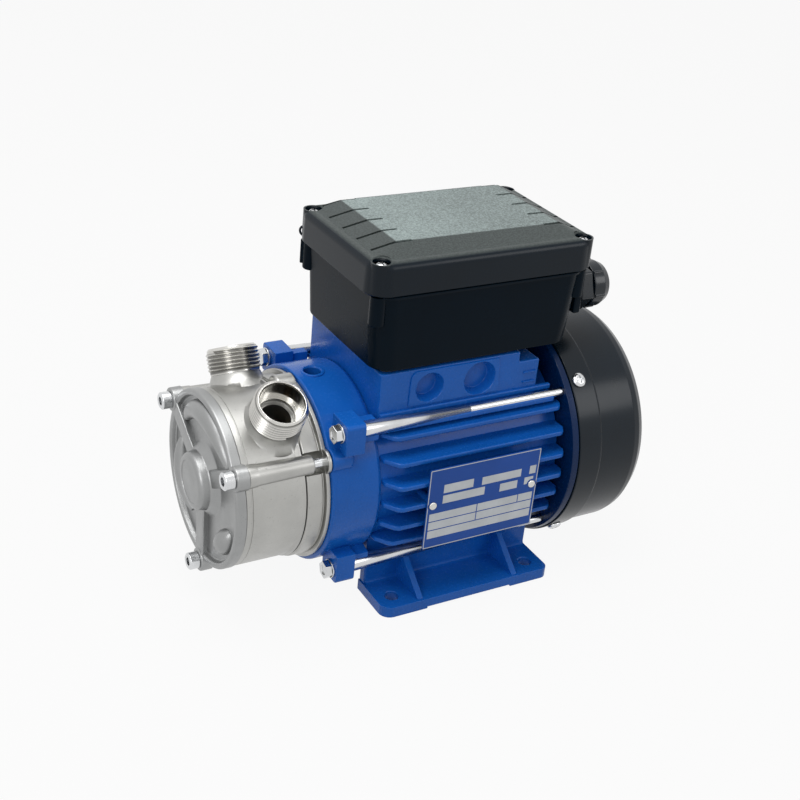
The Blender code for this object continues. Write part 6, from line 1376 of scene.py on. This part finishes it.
class PUMP_OT_nameplate(bpy.types.Operator):
    """Build the bare nameplate with its plain fields and two rivets"""

    bl_idname = "pump.nameplate"
    bl_label = "Nameplate"

    FIELDS = (
        (0.135, 0.398, 0.213, 0.318), (0.476, 0.836, 0.222, 0.320), (0.914, 0.973, 0.210, 0.314),
        (0.135, 0.510, 0.348, 0.449), (0.650, 0.812, 0.360, 0.460), (0.877, 0.960, 0.350, 0.440),
        (0.030, 0.454, 0.556, 0.652), (0.462, 0.832, 0.556, 0.652), (0.840, 0.971, 0.556, 0.652),
        (0.030, 0.454, 0.664, 0.763), (0.462, 0.971, 0.664, 0.763), (0.030, 0.971, 0.775, 0.874),
    )

    def execute(self, context):
        b = terminal_box()
        low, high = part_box("nameplate")
        face = low.y / MM
        width, height = b.plate_length, b.plate_height
        left = low.x / MM - FEET_X
        top = high.z / MM
        z_mid = fin_heights()[RIVET_FIN]
        rivets_x = (left + 3.2, left + width - 3.2)
        holes = [peg(f"rivet_hole_{x}", 40.0, 70.0, 1.4, facing((0, -1, 0), (x, 0, z_mid)),
                     24) for x in rivets_x]
        plate = prism("plate", rounded(width, height, 0.6, (left + width / 2, top - height / 2), 4),
                      face + 0.1, high.y / MM, "Y", 0.12, 2)
        finish_piece(combined(plate, cut=holes), "nameplate_sheet", "plate", replaces=["nameplate"])
        prints = []
        edge = 0.45
        border = prism("border", rounded(width - 0.5, height - 0.5, 0.5, (left + width / 2, top - height / 2),
                                         4), face + 0.04, face + 0.2, "Y")
        inside = prism("inside", rounded(width - 0.5 - 2 * edge, height - 0.5 - 2 * edge, 0.3,
                                         (left + width / 2, top - height / 2), 4), face - 0.5, face + 0.9,
                       "Y")
        border = combined(border, cut=[inside])
        for number, (u0, u1, v0, v1) in enumerate(self.FIELDS):
            prints.append(block(f"field_{number}", (left + u0 * width, face + 0.05, top - v1 * height),
                                (left + u1 * width, face + 0.2, top - v0 * height)))
        discs = [peg(f"rivet_room_{x}", 40.0, 70.0, 2.9, facing((0, -1, 0), (x, 0, z_mid)),
                     32) for x in rivets_x]
        finish_piece(combined(join_meshes(border, prints), cut=discs), "nameplate_fields", "silver")
        rivet = turned("rivet", eased([(-54.0, 0), (-54.0, 1.2, 0), (-57.0, 1.2, 0), (-57.0, 2.2, 0.2),
                                       (-57.9, 1.9, 0.6), (-58.35, 0)], 0.4, 5),
                       Matrix.Translation((0, face + 57.2, 0)) @ facing((0, 1, 0), (0, 0, 0)), FINE)
        both = copies_on_grid("rivets", rivet, (rivets_x[1] - rivets_x[0], 1.0),
                              (sum(rivets_x) / 2, 0.0, z_mid), "machined", counts=(2, 1))
        finish_piece(both, "nameplate_rivet_set", "machined", replaces=["nameplate_rivet_1",
                "nameplate_rivet_2"])
        return {"FINISHED"}


class PUMP_OT_hidden_pieces(bpy.types.Operator):
    """Give the inner pieces of the CAD model their finishes"""

    bl_idname = "pump.hidden_pieces"
    bl_label = "Inner pieces"

    WEARS = {
        "bronze": ("impeller",), "steel": ("impeller_ring", "seal_spring", "bearing", "ball_cage",
                                           "wave_washer", "fan_clip"),
        "pale": ("seal_seat", "capacitor", "terminal_board"), "carbon": ("seal_head", "shaft_bush"),
        "rubber": ("o_ring", "slinger", "gasket", "gland_seal"), "copper": ("winding",),
        "laminated": ("stator_core",),
        "aluminium": ("rotor_core",), "machined": ("shaft",), "cowl": ("fan",), "zinc": ("box_screw",),
    }

    def execute(self, context):
        for node, obj in frame["nodes"].items():
            for look, words in self.WEARS.items():
                if any(f"_{word}_" in f"_{node}_" for word in words):
                    obj.data.materials.clear()
                    obj.data.materials.append(LOOKS[look])
                    break
        return {"FINISHED"}


# Stage


class PUMP_OT_stage(bpy.types.Operator):
    """Build the floor, the soft lamps, the pale world and the camera"""

    bl_idname = "pump.stage"
    bl_label = "Stage"

    def execute(self, context):
        scene = context.scene
        self.floor()
        self.world(scene)
        for settings in LAMPS:
            self.lamp(*settings)
        self.camera(scene)
        scene.view_settings.view_transform = "Standard"
        return {"FINISHED"}

    def background_share(self, look):
        """1 where the camera, a mirror or glass looks at the background."""
        path = look.tree.nodes.new("ShaderNodeLightPath")
        seen = Field(look, path.outputs["Is Camera Ray"]) + Field(look, path.outputs["Is Glossy Ray"])
        seen = seen + Field(look, path.outputs["Is Transmission Ray"])
        return look.math("MINIMUM", seen, 1.0)

    def floor(self):
        bm = bmesh.new()
        bmesh.ops.create_grid(bm, x_segments=1, y_segments=1, size=FLOOR_SIZE)
        floor = scratch_object("floor", bm)
        look = Look("pale_floor")
        look.wear(base_color=(0.55, 0.55, 0.55), roughness=0.9)
        glow = look.node("ShaderNodeEmission", None, {"Color": (1.0, 1.0, 1.0, 1.0), "Strength": 1.0})
        mixed = look.node("ShaderNodeMixShader", None, {0: self.background_share(look) * FLOOR_GLOW,
                1: Field(look, look.shader.outputs[0]), 2: glow})
        look.tree.links.new(mixed.socket, look.tree.nodes["Material Output"].inputs["Surface"])
        floor.data.materials.append(look.material)

    def world(self, scene):
        world = bpy.data.worlds.new("pale_world")
        scene.world = world
        world.use_nodes = True
        tree = world.node_tree
        tree.nodes["Background"].inputs["Color"].default_value = (1.0, 1.0, 1.0, 1.0)
        path = tree.nodes.new("ShaderNodeLightPath")
        seen = tree.nodes.new("ShaderNodeMath")
        seen.operation = "ADD"
        tree.links.new(path.outputs["Is Camera Ray"], seen.inputs[0])
        tree.links.new(path.outputs["Is Glossy Ray"], seen.inputs[1])
        through = tree.nodes.new("ShaderNodeMath")
        through.operation = "ADD"
        tree.links.new(seen.outputs[0], through.inputs[0])
        tree.links.new(path.outputs["Is Transmission Ray"], through.inputs[1])
        strength = tree.nodes.new("ShaderNodeMapRange")
        tree.links.new(through.outputs[0], strength.inputs["Value"])
        strength.inputs["To Min"].default_value = FILL_LIGHT
        strength.inputs["To Max"].default_value = 1.0
        tree.links.new(strength.outputs[0], tree.nodes["Background"].inputs["Strength"])

    def lamp(self, name, place, target, size, watts):
        light = bpy.data.lights.new(name, "AREA")
        light.shape = "DISK"
        light.size = size
        light.energy = watts
        obj = bpy.data.objects.new(name, light)
        obj.location = place
        obj.rotation_euler = (Vector(target) - Vector(place)).to_track_quat("-Z", "Y").to_euler()
        bpy.context.scene.collection.objects.link(obj)

    def camera(self, scene):
        camera = bpy.data.cameras.new("photo_view")
        camera.sensor_width = SENSOR
        camera.lens = FOCAL_PIXELS / PHOTO_PIXELS * SENSOR
        camera.clip_start = 0.01
        obj = bpy.data.objects.new("photo_view", camera)
        look = (CAMERA_TARGET - CAMERA_PLACE).to_track_quat("-Z", "Y").to_matrix().to_4x4()
        roll = Matrix.Rotation(math.radians(CAMERA_ROLL), 4, "Z")
        obj.matrix_world = Matrix.Translation(CAMERA_PLACE) @ look @ roll
        scene.collection.objects.link(obj)
        scene.camera = obj


PIECES = (
    PUMP_OT_front_cover, PUMP_OT_body, PUMP_OT_back_plate, PUMP_OT_cover_screws, PUMP_OT_flange,
    PUMP_OT_housing,
    PUMP_OT_tie_rods, PUMP_OT_rear_shield, PUMP_OT_fan_cover, PUMP_OT_box_base, PUMP_OT_box_lid,
    PUMP_OT_box_screws,
    PUMP_OT_gland, PUMP_OT_nameplate, PUMP_OT_hidden_pieces, PUMP_OT_stage,
)
GROUPS = (("pump_sizes", PumpSizes), ("motor_sizes", MotorSizes), ("box_sizes", BoxSizes),
          ("finishes", Finishes))


class PUMP_PT_panel(bpy.types.Panel):
    """The sizes, colours and buttons in the sidebar"""

    bl_label = "Liquid ring pump"
    bl_idname = "PUMP_PT_panel"
    bl_space_type = "VIEW_3D"
    bl_region_type = "UI"
    bl_category = "Pump"

    def draw(self, context):
        for name, group in GROUPS:
            column = self.layout.column(align=True)
            for prop in group.__annotations__:
                column.prop(getattr(context.scene, name), prop)
        for piece in PIECES:
            self.layout.operator(piece.bl_idname)


def register():
    for name, group in GROUPS:
        bpy.utils.register_class(group)
        setattr(bpy.types.Scene, name, PointerProperty(type=group))
    for cls in (*PIECES, PUMP_PT_panel):
        bpy.utils.register_class(cls)


def unregister():
    for cls in (PUMP_PT_panel, *reversed(PIECES)):
        bpy.utils.unregister_class(cls)
    for name, group in reversed(GROUPS):
        delattr(bpy.types.Scene, name)
        bpy.utils.unregister_class(group)


def main():
    register()
    LOOKS.update(make_looks())
    TREES.update(round=round_shaft_tree(), grid=grid_tree(), thread=thread_tree())
    for piece in PIECES:
        group, action = piece.bl_idname.split(".")
        getattr(getattr(bpy.ops, group), action)()


if __name__ == "__main__":
    main()
